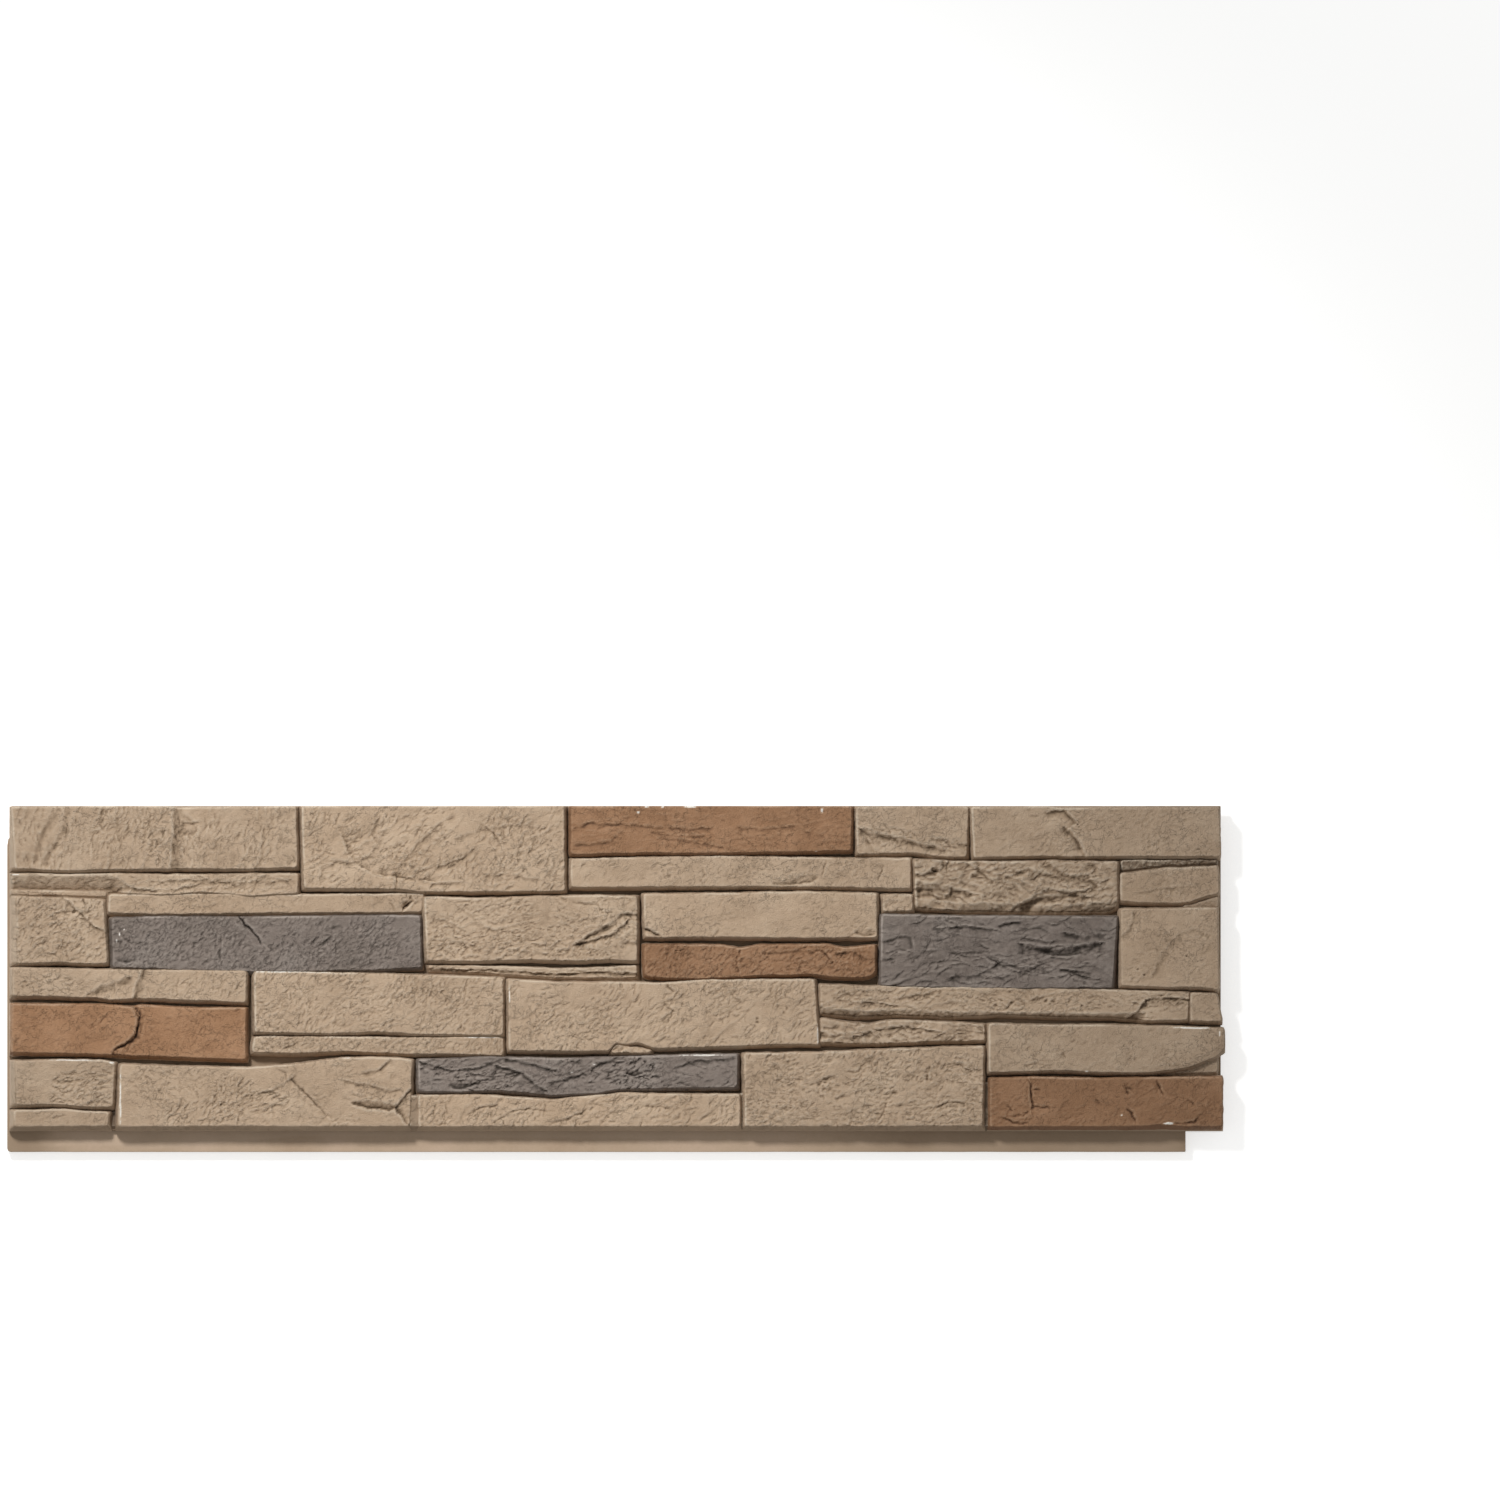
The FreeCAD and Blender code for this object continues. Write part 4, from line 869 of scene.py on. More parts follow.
FOOT_STONES = (
    Stone("foot_1", ((7.5, 81), (47.5, 82), (82.5, 81.5), (96, 79.5)),
          ((8.5, 41.5), (38.5, 42.5), (74, 40), (93.5, 40)),
          32.0, 1.0, Cleft.SMOOTH, tint=-0.02, seed=41, marks=(
              Chatter((66, 62), (26, 10), 90, 5.5, 2.0, 12), Chatter((62, 48), (30, 7), 56, 5.5, 1.9, 10),
              Crack(((44, 63.5), (59.5, 62)), 0.9), Crack(((65, 56.5), (79, 60)), 0.9),
              Crack(((84, 73), (94, 68)), 1.1)),
          # The long thin spot along the top edge is a painted highlight; the other is where the paint has
          # come off.
          scuffs_and_edge_highlights=((93.5, 79.5, 2, 0.8), (60, 81.6, 20, 0.3))),
    Stone("foot_1_shim", ((6.5, 37), (47.5, 38), (90.5, 35.5)), ((6.5, 22.5), (47.5, 23), (89.5, 23)),
          30.0, -1.0, Cleft.SMOOTH, seed=42, marks=(Crack(((38, 30), (52, 33)), 0.8),)),
    Stone("foot_2",
          ((100.5, 78), (153.5, 76), (215.5, 75), (259.5, 78.5), (295, 83.5), (339, 84), (358.5, 82)),
          ((98.5, 22.5), (171, 23), (259.5, 23), (356.5, 23)),
          33.0, 1.0, Cleft.SMOOTH, tint=0.06, seed=43, marks=(
              Break(((295, 24), (279, 35.5), (269, 46), (250, 65)), 0.9, 14, 1.5),
              Crack(((250, 66), (269, 47), (279, 36.5), (290, 27)), 1.1),
              Break(((212, 50), (228.5, 53), (244.5, 60), (252, 66)), 1.6, 12, 2),
              Crack(((238, 75), (247, 70), (247.5, 63.5)), 0.9),
              Hollow((325, 41.5), (23, 4.2), 4.6, -5),
              Break(((361, 17), (349, 31), (343, 38.5), (349, 46), (361, 60)), 3.2, 40),
              Break(((300, 63), (323, 59), (338, 54.5), (345, 55)), 1.5, 9, 2),
              Break(((318, 71), (330, 73), (338, 81)), 1.8, 8, 2),
              Chatter((176, 35), (38, 10), 100, 6.5, 1.9, 40), Chatter((198, 50), (22, 16), 70, 5, 1.8, 60),
              Chatter((228, 45), (20, 10), 40, 7, 1.8, 15), Chatter((140, 60), (36, 16), 110, 4.5, 1.1, -30),
              Chatter((295, 28), (22, 5), 20, 4, 1.2, 20), Chatter((310, 50), (14, 6), 16, 5, 1.1, 0)),
          scuffs_and_edge_highlights=((100.6, 46, 0.5, 18), (300, 83.5, 6, 0.4))),
    Stone("foot_3", ((364, 82), (401, 83), (418.5, 84.5), (489.5, 83), (560, 85), (613, 86.5), (646.5, 87)),
          ((364.5, 54),
           (401, 53.5), (436.5, 55), (480.5, 50.5), (524.5, 52.5), (542.5, 56), (595.5, 57), (646, 57.5)),
          32.5, -1.0, Cleft.LAYERED, Paint.GREY, tint=0.09, seed=44, marks=(
              Break(((366, 80), (393, 72.5), (418, 75), (440, 84)), 2.6, 9, 2),
              Break(((434, 77), (456.5, 70), (466, 62), (476, 55)), 3.4, 30, 2),
              Break(((443, 82), (458, 79.5), (479, 74)), 2.6, 7, 2),
              Break(((482, 62), (506, 68), (520, 77), (538, 83)), 2.6, 12, 2),
              Hollow((555, 69.5), (9, 3), 4.0), Hollow((404, 60), (16, 4.5), 3.2, 8),
              Break(((592, 75), (604, 80.5), (642, 83.5)), 2.6, 7, 2),
              Chatter((426, 63), (28, 9), 90, 6, 3.0, 15), Chatter((553, 69), (22, 14), 110, 4.5, 2.9, 20),
              Chatter((508, 72), (28, 10), 70, 6, 2.0, 25), Chatter((385, 76), (20, 7), 34, 6, 2.0, 10),
              Chatter((590, 60), (26, 4), 14, 6, 1.2, 5)),
          # The long thin spot along the top edge is a painted highlight; the others are where the paint has
          # come off.
          scuffs_and_edge_highlights=((615, 85.8, 14, 0.5), (500, 70, 1.2, 0.5), (520, 78, 2, 0.5))),
    Stone("foot_3_sill",
          ((364, 50.5), (418.5, 51), (480.5, 46.5), (542.5, 52.5), (595.5, 51.5), (648.5, 51.5)),
          ((364.5, 22.5), (436.5, 23), (648.5, 23)),
          31.0, 1.0, Cleft.CHATTERED, tint=0.14, seed=45, marks=(
              Crack(((378, 24), (390.5, 25), (397.5, 29)), 1.1),
              Crack(((406, 32.5), (421, 40), (435.5, 41.5)), 1.2),
              Crack(((426.5, 24), (447, 36), (461, 38), (484, 36)), 1.2),
              Crack(((479.5, 24), (498, 30), (508.5, 34.5), (521, 46)), 1.2),
              Crack(((524.5, 24), (531.5, 32), (543, 40.5)), 0.9),
              Crack(((561, 41.5), (577.5, 40), (592, 38)), 0.9),
              Crack(((613, 26.5), (623.5, 37), (629, 44)), 0.9))),
    Stone("foot_4", ((652, 87.5), (719, 88.5), (772, 91), (825, 93), (864, 93.5)),
          ((653, 23), (754.5, 23), (863, 23.5)),
          33.0, 1.0, Cleft.SWIRLED, tint=0.03, seed=46, marks=(
              Crack(((741, 71.5), (753.5, 70.5), (757, 78)), 1.4),
              Crack(((707.5, 57.5), (717.5, 62), (729, 66.5)), 1.2),
              Crack(((820, 39), (832.5, 44), (847.5, 43.5), (851.5, 50.5)), 1.5),
              Pits((784.5, 52), (1, 1), 1, 1.4),
              Crack(((779, 45), (775.5, 35.5), (768.5, 25)), 1.1),
              Crack(((816.5, 77), (813, 63.5)), 1.2),
              Crack(((836.5, 79.5), (844.5, 76), (855.5, 70)), 1.1),
              Pits((723.5, 59), (6, 6), 9), Pits((817, 68), (5, 8), 9))),
    Stone("foot_5", ((869.5, 65.5), (913.5, 66.5), (966.5, 65.5), (1075, 67)),
          ((869.5, 22.5), (931.5, 23), (993, 22.5), (1019.5, 24.5), (1046, 23), (1075, 23)),
          32.0, 1.5, Cleft.SMOOTH, Paint.BROWN, tint=-0.05, seed=47, marks=(
              Crack(((902.5, 66), (905.6, 60), (905.6, 49.5), (907.5, 40)), 2.0),
              Break(((906, 40), (906, 50), (905, 64)), 1.6, 20, 1.5),
              Crack(((907, 41), (915, 39.5), (924, 40)), 1.1), Crack(((906, 54), (914, 56)), 1.2),
              Crack(((905, 38), (899.5, 32.5), (890, 32)), 1.6),
              Crack(((880, 31), (890, 26), (903, 25.5)), 1.8),
              Crack(((884, 42), (890, 36)), 1.1), Crack(((996, 56), (989, 57), (992, 50)), 1.4),
              Crack(((990, 38), (995, 35), (998.5, 25.6)), 1.7),
              Crack(((1017, 64), (1020, 56), (1023, 51)), 2.0),
              Crack(((1030.5, 25), (1050.5, 26.5), (1056, 33.5)), 1.4), Crack(((1044, 47), (1052, 40)), 0.9),
              Crack(((962, 48), (968, 42)), 0.8), Chatter((893, 32), (16, 8), 12, 4, 1.0, 30)),
          scuffs_and_edge_highlights=((1028.6, 25.4, 4, 0.8), (986, 33, 0.8, 0.8))),
    *(Stone(f"foot_joint_{number}", ((left, top), (right, top)), ((left, JOINT_END), (right, JOINT_END)),
            rise, 0.0, Cleft.SMOOTH, tint=tint, seed=50 + number)
      for number, (left, right, top, rise, tint) in enumerate(FOOT_JOINTS, 1)),
)


@dataclass
class Skin:
    """The points and faces of a mesh in the making, in millimetres, with what each carries."""

    points: list[Array] = field(default_factory=list)
    faces: list[tuple[int, ...]] = field(default_factory=list)
    paints: list[int] = field(default_factory=list)
    painted_shadings_and_wear: list[Array] = field(default_factory=list)
    tints: list[Array] = field(default_factory=list)
    grains: list[Array] = field(default_factory=list)
    count: int = 0

    def add_points(self, points: Array, painted_shading_and_wear: Array, tint: float, grain: Array) -> int:
        """Adds points.

        Args:
            points: One row of x, y and z for each.
            painted_shading_and_wear: How much painted shade lies at each; below nothing it is painted
                highlight, and further down foam colour where the paint has come off.
            tint: How light or dark they all are.
            grain: How much of the fine grain each gets.

        Returns:
            The number of the first of them.
        """
        first = self.count
        self.points.append(points)
        self.painted_shadings_and_wear.append(painted_shading_and_wear)
        self.tints.append(np.full(len(points), tint))
        self.grains.append(grain)
        self.count += len(points)
        return first

    def add_faces(self, faces: Array, paint: Paint) -> None:
        """Adds faces of one paint, each a row of point numbers."""
        self.faces.extend(map(tuple, faces.tolist()))
        self.paints.extend([paint.value] * len(faces))

    def make_object(self, name: str) -> bpy.types.Object:
        """Makes the mesh, in metres in the panel's frame.

        Args:
            name: The piece's name.

        Returns:
            An object at the origin that has it.
        """
        mesh = bpy.data.meshes.new(name)
        places = np.concatenate(self.points) * MM + np.array(CAD_LOW)
        mesh.from_pydata(places.tolist(), [], self.faces)
        # One attribute carries painted shade and painted highlight, and foam colour where the paint has come
        # off.
        for layer, values in (("painted_shading_and_wear", self.painted_shadings_and_wear), ("tint", self.tints), ("grain", self.grains)):
            attribute = mesh.attributes.new(layer, "FLOAT", "POINT")
            attribute.data.foreach_set("value", np.concatenate(values).astype(np.float32))
        paint = mesh.attributes.new("paint", "INT", "FACE")
        paint.data.foreach_set("value", np.array(self.paints, dtype=np.int32))
        mesh.update()
        made = bpy.data.objects.new(name, mesh)
        bpy.context.scene.collection.objects.link(made)
        return made


@dataclass(frozen=True)
class BoardPlan:
    """The board seen from above, in millimetres: what the stones and the board's own mesh both follow.

    Fields:
        length: The panel's length.
        height: The panel's height.
        bottom_flange: Height of the flange under the stones.
        left_flange: Width of the flange at the left end.
        top_lap: Height of the rebate behind the top edge.
        right_lap: Width of the rebate behind the right end.
        joint_painted_shade_size: Size of the patches of painted shade in the joints.
        joint_painted_shade_seed: Picks those patches.
    """

    length: float = (CAD_HIGH[0] - CAD_LOW[0]) / MM
    height: float = (CAD_HIGH[1] - CAD_LOW[1]) / MM
    bottom_flange: float = 19.0
    left_flange: float = 4.0
    top_lap: float = 28.0
    right_lap: float = 37.0
    joint_painted_shade_size: float = 40.0
    joint_painted_shade_seed: int = 77

    @property
    def lap_x(self) -> float:
        """Where the rebate behind the right end begins."""
        return self.length - self.right_lap

    @property
    def lap_y(self) -> float:
        """Where the rebate behind the top edge begins."""
        return self.height - self.top_lap

    def joint_painted_shade(self, x: Array, y: Array, usual: float, swing: float) -> Array:
        """How much painted shade lies in the joints at each point, in patches that the stones' sides and the
        board share.
        """
        return usual + swing * layered_noise(x, y, self.joint_painted_shade_size, self.joint_painted_shade_seed, 2)


@dataclass
class Face:
    """A stone's face seen from above, as a grid of points in rows from its lower left corner.

    Fields:
        x: The points' first coordinates.
        y: Their second coordinates.
        left: Their distances from the left end.
        right: Their distances from the right end.
        low: Their distances from the lower edge.
        high: Their distances from the upper edge.
    """

    x: Array
    y: Array
    left: Array
    right: Array
    low: Array
    high: Array

    @property
    def edge(self) -> Array:
        """The distance of each point from the nearest edge."""
        return np.minimum(np.minimum(self.left, self.right), np.minimum(self.low, self.high))


@dataclass
class Rim:
    """The points round a face's edge, anticlockwise from its lower left corner.

    Fields:
        x: Their first coordinates.
        y: Their second coordinates.
        z: Their heights.
        left: How far each belongs to the left end, from 0 to 1.
        right: The same for the right end.
        low: The same for the lower side.
        high: The same for the upper side.
    """

    x: Array
    y: Array
    z: Array
    left: Array
    right: Array
    low: Array
    high: Array


def corner_shrink(arm_x: Array, arm_y: Array) -> Array:
    """The share that points keep of their arms into a square corner, to make it round."""
    reach = np.maximum(np.hypot(arm_x, arm_y), 1e-9)
    return np.where((arm_x > 0) & (arm_y > 0), np.maximum(arm_x, arm_y) / reach, 1)


@dataclass
class Moulding:
    """How the stones are moulded, in millimetres.

    Fields:
        plan: The board that they stand on.
        pitch: Spacing of the mesh on a face.
        rim_steps: Extra mesh lines close to a face's edge, for its worn arris.
        arris: Radius of that arris.
        least_arris: The least that the arris is worn.
        corner: Radius of a face's corners in plan.
        edge_waver: How far the upper and lower edges waver in plan.
        end_waver: The same for the ends.
        end_draft: How far a side spreads out from the face to its foot.
        outer_draft: The same at the panel's right end.
        under_draft: The same for the lower side.
        top_draft: The same for the upper side.
        end_zone: How close to an end of the panel a side counts as being there.
        left_foot: Where the sides at the panel's left end come down.
        side_rows: How far down a side its mesh rows lie, as shares.
        painted_rows: How many of those rows have the stone's own paint.
        side_waver: How rough a side is.
        settle: How far the middle of the relief lies under the face's nominal height.
        headroom: Room for the grain over the highest point.
        shoulder: How far under that room the high points begin to flatten.
        least_stand: The least that a face stands over the joints.
        joint_floor: Height where the sides end, just under the surface of the joints.
        flange_floor: The same over the flange.
        lap_floor: The same over the rebates behind the top edge and the right end.
        top_gap: How far a face keeps from the panel's top edge.
        grain_rim: How far from its edge a face gets its full grain.
    """

    plan: BoardPlan = BoardPlan()
    pitch: float = 1.0
    rim_steps: tuple[float, ...] = (0.0, 0.4, 1.0)
    arris: float = 1.1
    least_arris: float = 0.3
    corner: float = 2.6
    edge_waver: float = 0.75
    end_waver: float = 0.5
    end_draft: float = 3.2
    outer_draft: float = 1.2
    under_draft: float = 4.0
    top_draft: float = 1.2
    end_zone: float = 12.0
    left_foot: float = 2.0
    side_rows: tuple[float, ...] = (0.07, 0.2, 0.42, 0.72, 1.0)
    painted_rows: int = 3
    side_waver: float = 0.5
    settle: float = 1.4
    headroom: float = 0.35
    shoulder: float = 0.5
    least_stand: float = 3.0
    joint_floor: float = 15.0
    flange_floor: float = 10.5
    lap_floor: float = 12.4
    top_gap: float = 0.15
    grain_rim: float = 0.8

    def shares(self, span: float) -> Array:
        """Mesh lines across a span, closer together at both ends.

        Args:
            span: The span's length.

        Returns:
            Their places, as shares of it.
        """
        rim = np.array(self.rim_steps)
        inner = rim[-1] + self.pitch
        count = max(2, round((span - 2 * inner) / self.pitch) + 1)
        middle = np.linspace(inner, span - inner, count)
        return np.concatenate([rim, middle, (span - rim)[::-1]]) / span

    def edge_height(self, line: Line, x: Array, seed: int) -> Array:
        """A stone's upper or lower edge in plan, eased and a little ragged.

        Args:
            line: The edge, from left to right.
            x: Where it is wanted.
            seed: Picks the raggedness.

        Returns:
            Its second coordinate at each x.
        """
        dense = np.arange(line[0][0] - 4, line[-1][0] + 4, 0.5)
        heights = np.interp(dense, *zip(*line))
        kernel = np.hanning(13)[1:-1]
        eased = np.convolve(np.pad(heights, 5, mode="edge"), kernel / kernel.sum(), mode="valid")
        ragged = self.edge_waver * layered_noise(x, np.full_like(x, seed * 7.3), 15, seed)
        return np.interp(x, dense, eased) + ragged

    def lay_out(self, stone: Stone) -> Face:
        """Lays a grid over a stone's face between its wavering edges, and rounds its corners.

        Args:
            stone: The stone.

        Returns:
            The grid.
        """
        left, right = stone.under[0][0], stone.under[-1][0]
        tall = np.mean([y for _, y in stone.top]) - np.mean([y for _, y in stone.under])
        across, up = np.meshgrid(self.shares(right - left), self.shares(tall))
        end_left = left + (stone.top[0][0] - left) * up
        end_right = right + (stone.top[-1][0] - right) * up
        level = stone.under[0][1] + tall * up
        end_left = end_left + self.end_waver * layered_noise(level, end_left, 11, stone.seed + 3, 3)
        end_right = end_right + self.end_waver * layered_noise(level, end_right, 11, stone.seed + 4, 3)
        x = end_left + (end_right - end_left) * across
        low = self.edge_height(stone.under, x, stone.seed + 5)
        high = np.minimum(self.edge_height(stone.top, x, stone.seed + 6), self.plan.height - self.top_gap)
        y = low + (high - low) * up
        face = Face(x, y, x - end_left, end_right - x, y - low, high - y)
        arm_x = np.clip(self.corner - np.minimum(face.left, face.right), 0, None)
        arm_y = np.clip(self.corner - np.minimum(face.low, face.high), 0, None)
        shrink = corner_shrink(arm_x, arm_y)
        face.x = x + np.where(face.left < face.right, 1, -1) * arm_x * (1 - shrink)
        face.y = y + np.where(face.low < face.high, 1, -1) * arm_y * (1 - shrink)
        return face

    def heights(self, stone: Stone, face: Face) -> Array:
        """The heights of a face, from its lean, its cleft, its marks and its worn arris.

        Args:
            stone: The stone.
            face: Its face in plan.

        Returns:
            The height of each point over the panel's back.
        """
        x, y = face.x, face.y
        z = stone.rise + np.tan(math.radians(stone.lean)) * (y - stone.under[0][1])
        z = z + stone.cleft.value.relief(x, y, stone.seed * 100)
        for number, mark in enumerate(stone.marks):
            z = z - mark.depth(x, y, stone.seed * 100 + 7 * number)
        worn = self.arris * (1 + 0.6 * layered_noise(x, y, 12, stone.seed + 7, 2))
        worn = np.maximum(worn, self.least_arris)
        inward = np.clip(1 - face.edge / worn, 0, 1)
        z = z - worn * (1 - np.sqrt(1 - inward**2 * 0.98)) * 0.8
        z = z - self.settle
        ceiling = (CAD_HIGH[2] - CAD_LOW[2]) / MM - self.headroom
        over = np.maximum(z - ceiling + self.shoulder, 0)
        z = np.where(over > 0, ceiling - self.shoulder * np.exp(-over / self.shoulder), z)
        return np.maximum(z, self.joint_floor + self.least_stand)

    def relief_painted_shading(self, z: Array) -> Array:
        """Painted shade in a face's low places, and painted highlight on its high places.

        Args:
            z: The face's heights.

        Returns:
            How much painted shade lies at each point; less than nothing is painted highlight on high points.
        """
        def mean(reach: int) -> Array:
            """The mean height round each point.

            Args:
                reach: How many mesh lines away it looks.

            Returns:
                The mean for each point.
            """
            padded = np.pad(z, reach, mode="edge")
            size = 2 * reach + 1
            down = sum(padded[row:row + z.shape[0]] for row in range(size)) / size
            return sum(down[:, column:column + z.shape[1]] for column in range(size)) / size

        # Painted shade in small hollows, cracks and broad hollows, and painted highlight on small ridges.
        fine = np.clip((mean(2) - z) / 1.0, -0.6, 0.55)
        broad = np.clip((mean(7) - z) / 3.0, 0, 0.45)
        return fine + broad

    def face_painted_shading(self, stone: Stone, face: Face, z: Array) -> Array:
        """The painted shading on a face, with painted highlight along its left and upper edges, which face
        the lamp, and foam colour where the paint has come off and in thin painted highlights along some lit
        top edges.

        Args:
            stone: The stone.
            face: Its face in plan.
            z: The face's heights.

        Returns:
            The painted shading at each point.
        """
        x, y = face.x, face.y
        # Painted highlight along the left and upper edges, on the side of the lamp.
        lit_edge_painted_highlight = np.clip(1.2 - np.minimum(face.left, face.high) / 1.4, 0, 1)
        painted_highlight = lit_edge_painted_highlight * smooth(0.4 + 3 * layered_noise(x, y, 60, stone.seed + 12, 2))
        painted_shading_and_wear = np.maximum(self.relief_painted_shading(z) - 1.1 * painted_highlight, -1)
        # Foam colour where the paint has come off, and thin painted highlights along some lit top edges.
        for spot_x, spot_y, half_long, half_high in stone.scuffs_and_edge_highlights:
            away = np.hypot((x - spot_x) / half_long, (y - spot_y) / half_high)
            painted_shading_and_wear = painted_shading_and_wear - 3 * smooth(1.6 - away + 0.8 * layered_noise(x, y, 3, stone.seed + 14, 2))
        return painted_shading_and_wear

    def build(self, stone: Stone, skin: Skin) -> None:
        """Adds one stone to the mesh.

        Args:
            stone: The stone to mould.
            skin: The mesh it joins.
        """
        face = self.lay_out(stone)
        z = self.heights(stone, face)
        points = np.stack([face.x, face.y, z], -1).reshape(-1, 3)
        grain = np.clip(face.edge / self.grain_rim, 0, 1)
        first = skin.add_points(points, self.face_painted_shading(stone, face, z).ravel(), stone.tint, grain.ravel())
        index = first + np.arange(z.size).reshape(z.shape)
        quads = np.stack([index[:-1, :-1], index[:-1, 1:], index[1:, 1:], index[1:, :-1]], -1)
        skin.add_faces(quads.reshape(-1, 4), stone.paint)
        ring = np.concatenate([index[0, :-1], index[:-1, -1], index[-1, :0:-1], index[:0:-1, 0]])
        spots = ring - first
        gaps = (face.left, face.right, face.low, face.high)
        rim = Rim(
            *(part.ravel()[spots] for part in (face.x, face.y, z)),
            *(np.clip(1 - gap.ravel()[spots] / self.corner, 0, 1) for gap in gaps),
        )
        self.build_sides(stone, skin, rim, ring)

    def build_sides(self, stone: Stone, skin: Skin, rim: Rim, ring: Array) -> None:
        """Adds a stone's drafted sides and closes it underneath.

        Args:
            stone: The stone.
            skin: The mesh it joins.
            rim: The points round its face's edge.
            ring: Their numbers in the mesh.
        """
        plan = self.plan
        out_x, out_y = self.drafts(rim)
        foot_x, foot_y = self.feet(rim, out_x, out_y)
        outside = (foot_x < plan.left_flange) | (foot_y < plan.bottom_flange + 3)
        lapped = (foot_x > plan.lap_x) | (foot_y > plan.lap_y)
        foot_z = np.where(outside, np.where(lapped, self.lap_floor, self.flange_floor), self.joint_floor)
        previous = ring
        for number, share in enumerate(self.side_rows):
            flare = 1 - (1 - share) ** 2.4
            depth = np.full_like(rim.x, 40 * share)
            rough = self.side_waver * layered_noise(rim.x + rim.y, depth, 9, stone.seed + 9, 3) * (share < 1)
            row_x = rim.x + (foot_x - rim.x) * flare + rough * np.sign(out_x) * (np.abs(out_x) > 0.1)
            row_y = rim.y + (foot_y - rim.y) * flare + rough * np.sign(out_y) * (np.abs(out_y) > 0.1)
            row_z = rim.z + (foot_z - rim.z) * share
            row = np.stack([row_x, np.minimum(row_y, plan.height - 0.1), row_z], -1)
            painted_shading_and_wear = self.side_painted_shading(rim, share, outside)
            current = skin.add_points(row, painted_shading_and_wear, stone.tint, np.zeros(len(ring))) + np.arange(len(ring))
            quads = np.stack([np.roll(previous, -1), previous, current, np.roll(current, -1)], -1)
            skin.add_faces(quads, stone.paint if number < self.painted_rows else Paint.BARE)
            previous = current
        skin.add_faces(previous[np.newaxis, ::-1], Paint.BARE)

    def drafts(self, rim: Rim) -> tuple[Array, Array]:
        """How far the sides spread out from the face's edge to their foot.

        Args:
            rim: The points round the face's edge.

        Returns:
            How far they spread along x and along y.
        """
        out_x = self.end_draft * (rim.right - rim.left)
        out_y = self.top_draft * rim.high - self.under_draft * rim.low
        at_right = rim.x > self.plan.length - self.end_zone
        at_left = (rim.x < self.end_zone) & (rim.left > 0)
        out_x = np.where(at_right, np.minimum(out_x, self.outer_draft), out_x)
        out_x = np.where(at_left, (self.left_foot - rim.x) * rim.left, out_x)
        return out_x, out_y

    def feet(self, rim: Rim, out_x: Array, out_y: Array) -> tuple[Array, Array]:
        """Where the sides come down on the board.

        Args:
            rim: The points round the face's edge.
            out_x: How far the sides spread along x.
            out_y: How far they spread along y.

        Returns:
            The coordinates of the foot under each point, within the panel.
        """
        foot_x = np.clip(rim.x + out_x, 0.5, self.plan.length - 2)
        foot_y = np.clip(rim.y + out_y, 0.5, self.plan.height - 0.1)
        lowest = (rim.low > 0.3) & (rim.y < self.plan.bottom_flange + 8)
        return foot_x, np.where(lowest, np.minimum(foot_y, self.plan.bottom_flange - 0.7), foot_y)

    def side_painted_shading(self, rim: Rim, share: float, outside: Array) -> Array:
        """The painted shading on the sides.

        Args:
            rim: The points round the face's edge.
            share: How far down the sides it is wanted.
            outside: Whether the side under each point comes down on a flange, not in a joint.

        Returns:
            The value under each point: painted shade down the joints and on the undersides over the flange,
                and painted light on the other sides at the panel's ends.
        """
        # Painted shade down the joints, starting highest on the right-hand sides and lowest on the left and
        # upper sides, which face the lamp.
        side_painted_shade = smooth((share - np.where(rim.low > 0.5, 0.45, 0.12)) / 0.3)
        side_painted_shade = np.where((rim.left > 0.5) | (rim.high > 0.5), smooth((share - 0.6) / 0.4), side_painted_shade)
        side_painted_shade = side_painted_shade * self.plan.joint_painted_shade(rim.x, rim.y, 0.45, 0.35)
        # Painted shade on the undersides over the flange, and painted light on the other sides that come
        # down on a flange.
        outer_side_painted_shading = np.where(rim.low > 0.5, 0.45 + 0.1 * share, -0.35)
        painted_shading_and_wear = np.where(outside, outer_side_painted_shading, 0.05 + 0.25 * share + side_painted_shade)
        # Painted light on the sides at the panel's right end.
        return np.where((rim.x > self.plan.length - self.end_zone) & (rim.right > 0.5), -0.25, painted_shading_and_wear)


# Materials

def linear(code: str) -> tuple[float, float, float, float]:
    """The linear colour of an sRGB hex code."""
    parts = [int(code[place:place + 2], 16) / 255 for place in (1, 3, 5)]
    return (*(part / 12.92 if part <= 0.04045 else ((part + 0.055) / 1.055) ** 2.4 for part in parts), 1.0)


def pick_socket(sockets: bpy.types.bpy_prop_collection, name: str) -> bpy.types.NodeSocket:
    """The socket of that name that is in use: a node may have several for other kinds of data."""
    return next(socket for socket in sockets if socket.name == name and socket.enabled)


def add_node(tree: bpy.types.NodeTree, kind: str, links: dict | None = None,
             **settings: object) -> bpy.types.Node:
    """Adds a node to a tree.

    Args:
        tree: The tree it joins.
        kind: Blender's name for the kind of node.
        links: For each input, by name or number, the socket that feeds it or its value.
        settings: The node's own properties.

    Returns:
        The node.
    """
    node = tree.nodes.new(kind)
    for name, value in settings.items():
        setattr(node, name, value)
    for name, value in (links or {}).items():
        socket = node.inputs[name] if isinstance(name, int) else pick_socket(node.inputs, name)
        if isinstance(value, bpy.types.NodeSocket):
            tree.links.new(value, socket)
        else:
            socket.default_value = value
    return node


def ramp_stops(node: bpy.types.Node, stops: tuple[tuple[float, str], ...]) -> None:
    """Sets a colour ramp's stops.

    Args:
        node: The ramp.
        stops: For each stop, its place from 0 to 1 and an sRGB hex code.
    """
    band = node.color_ramp
    while len(band.elements) < len(stops):
        band.elements.new(0.5)
    for element, (place, code) in zip(band.elements, stops):
        element.position = place
        element.color = linear(code)


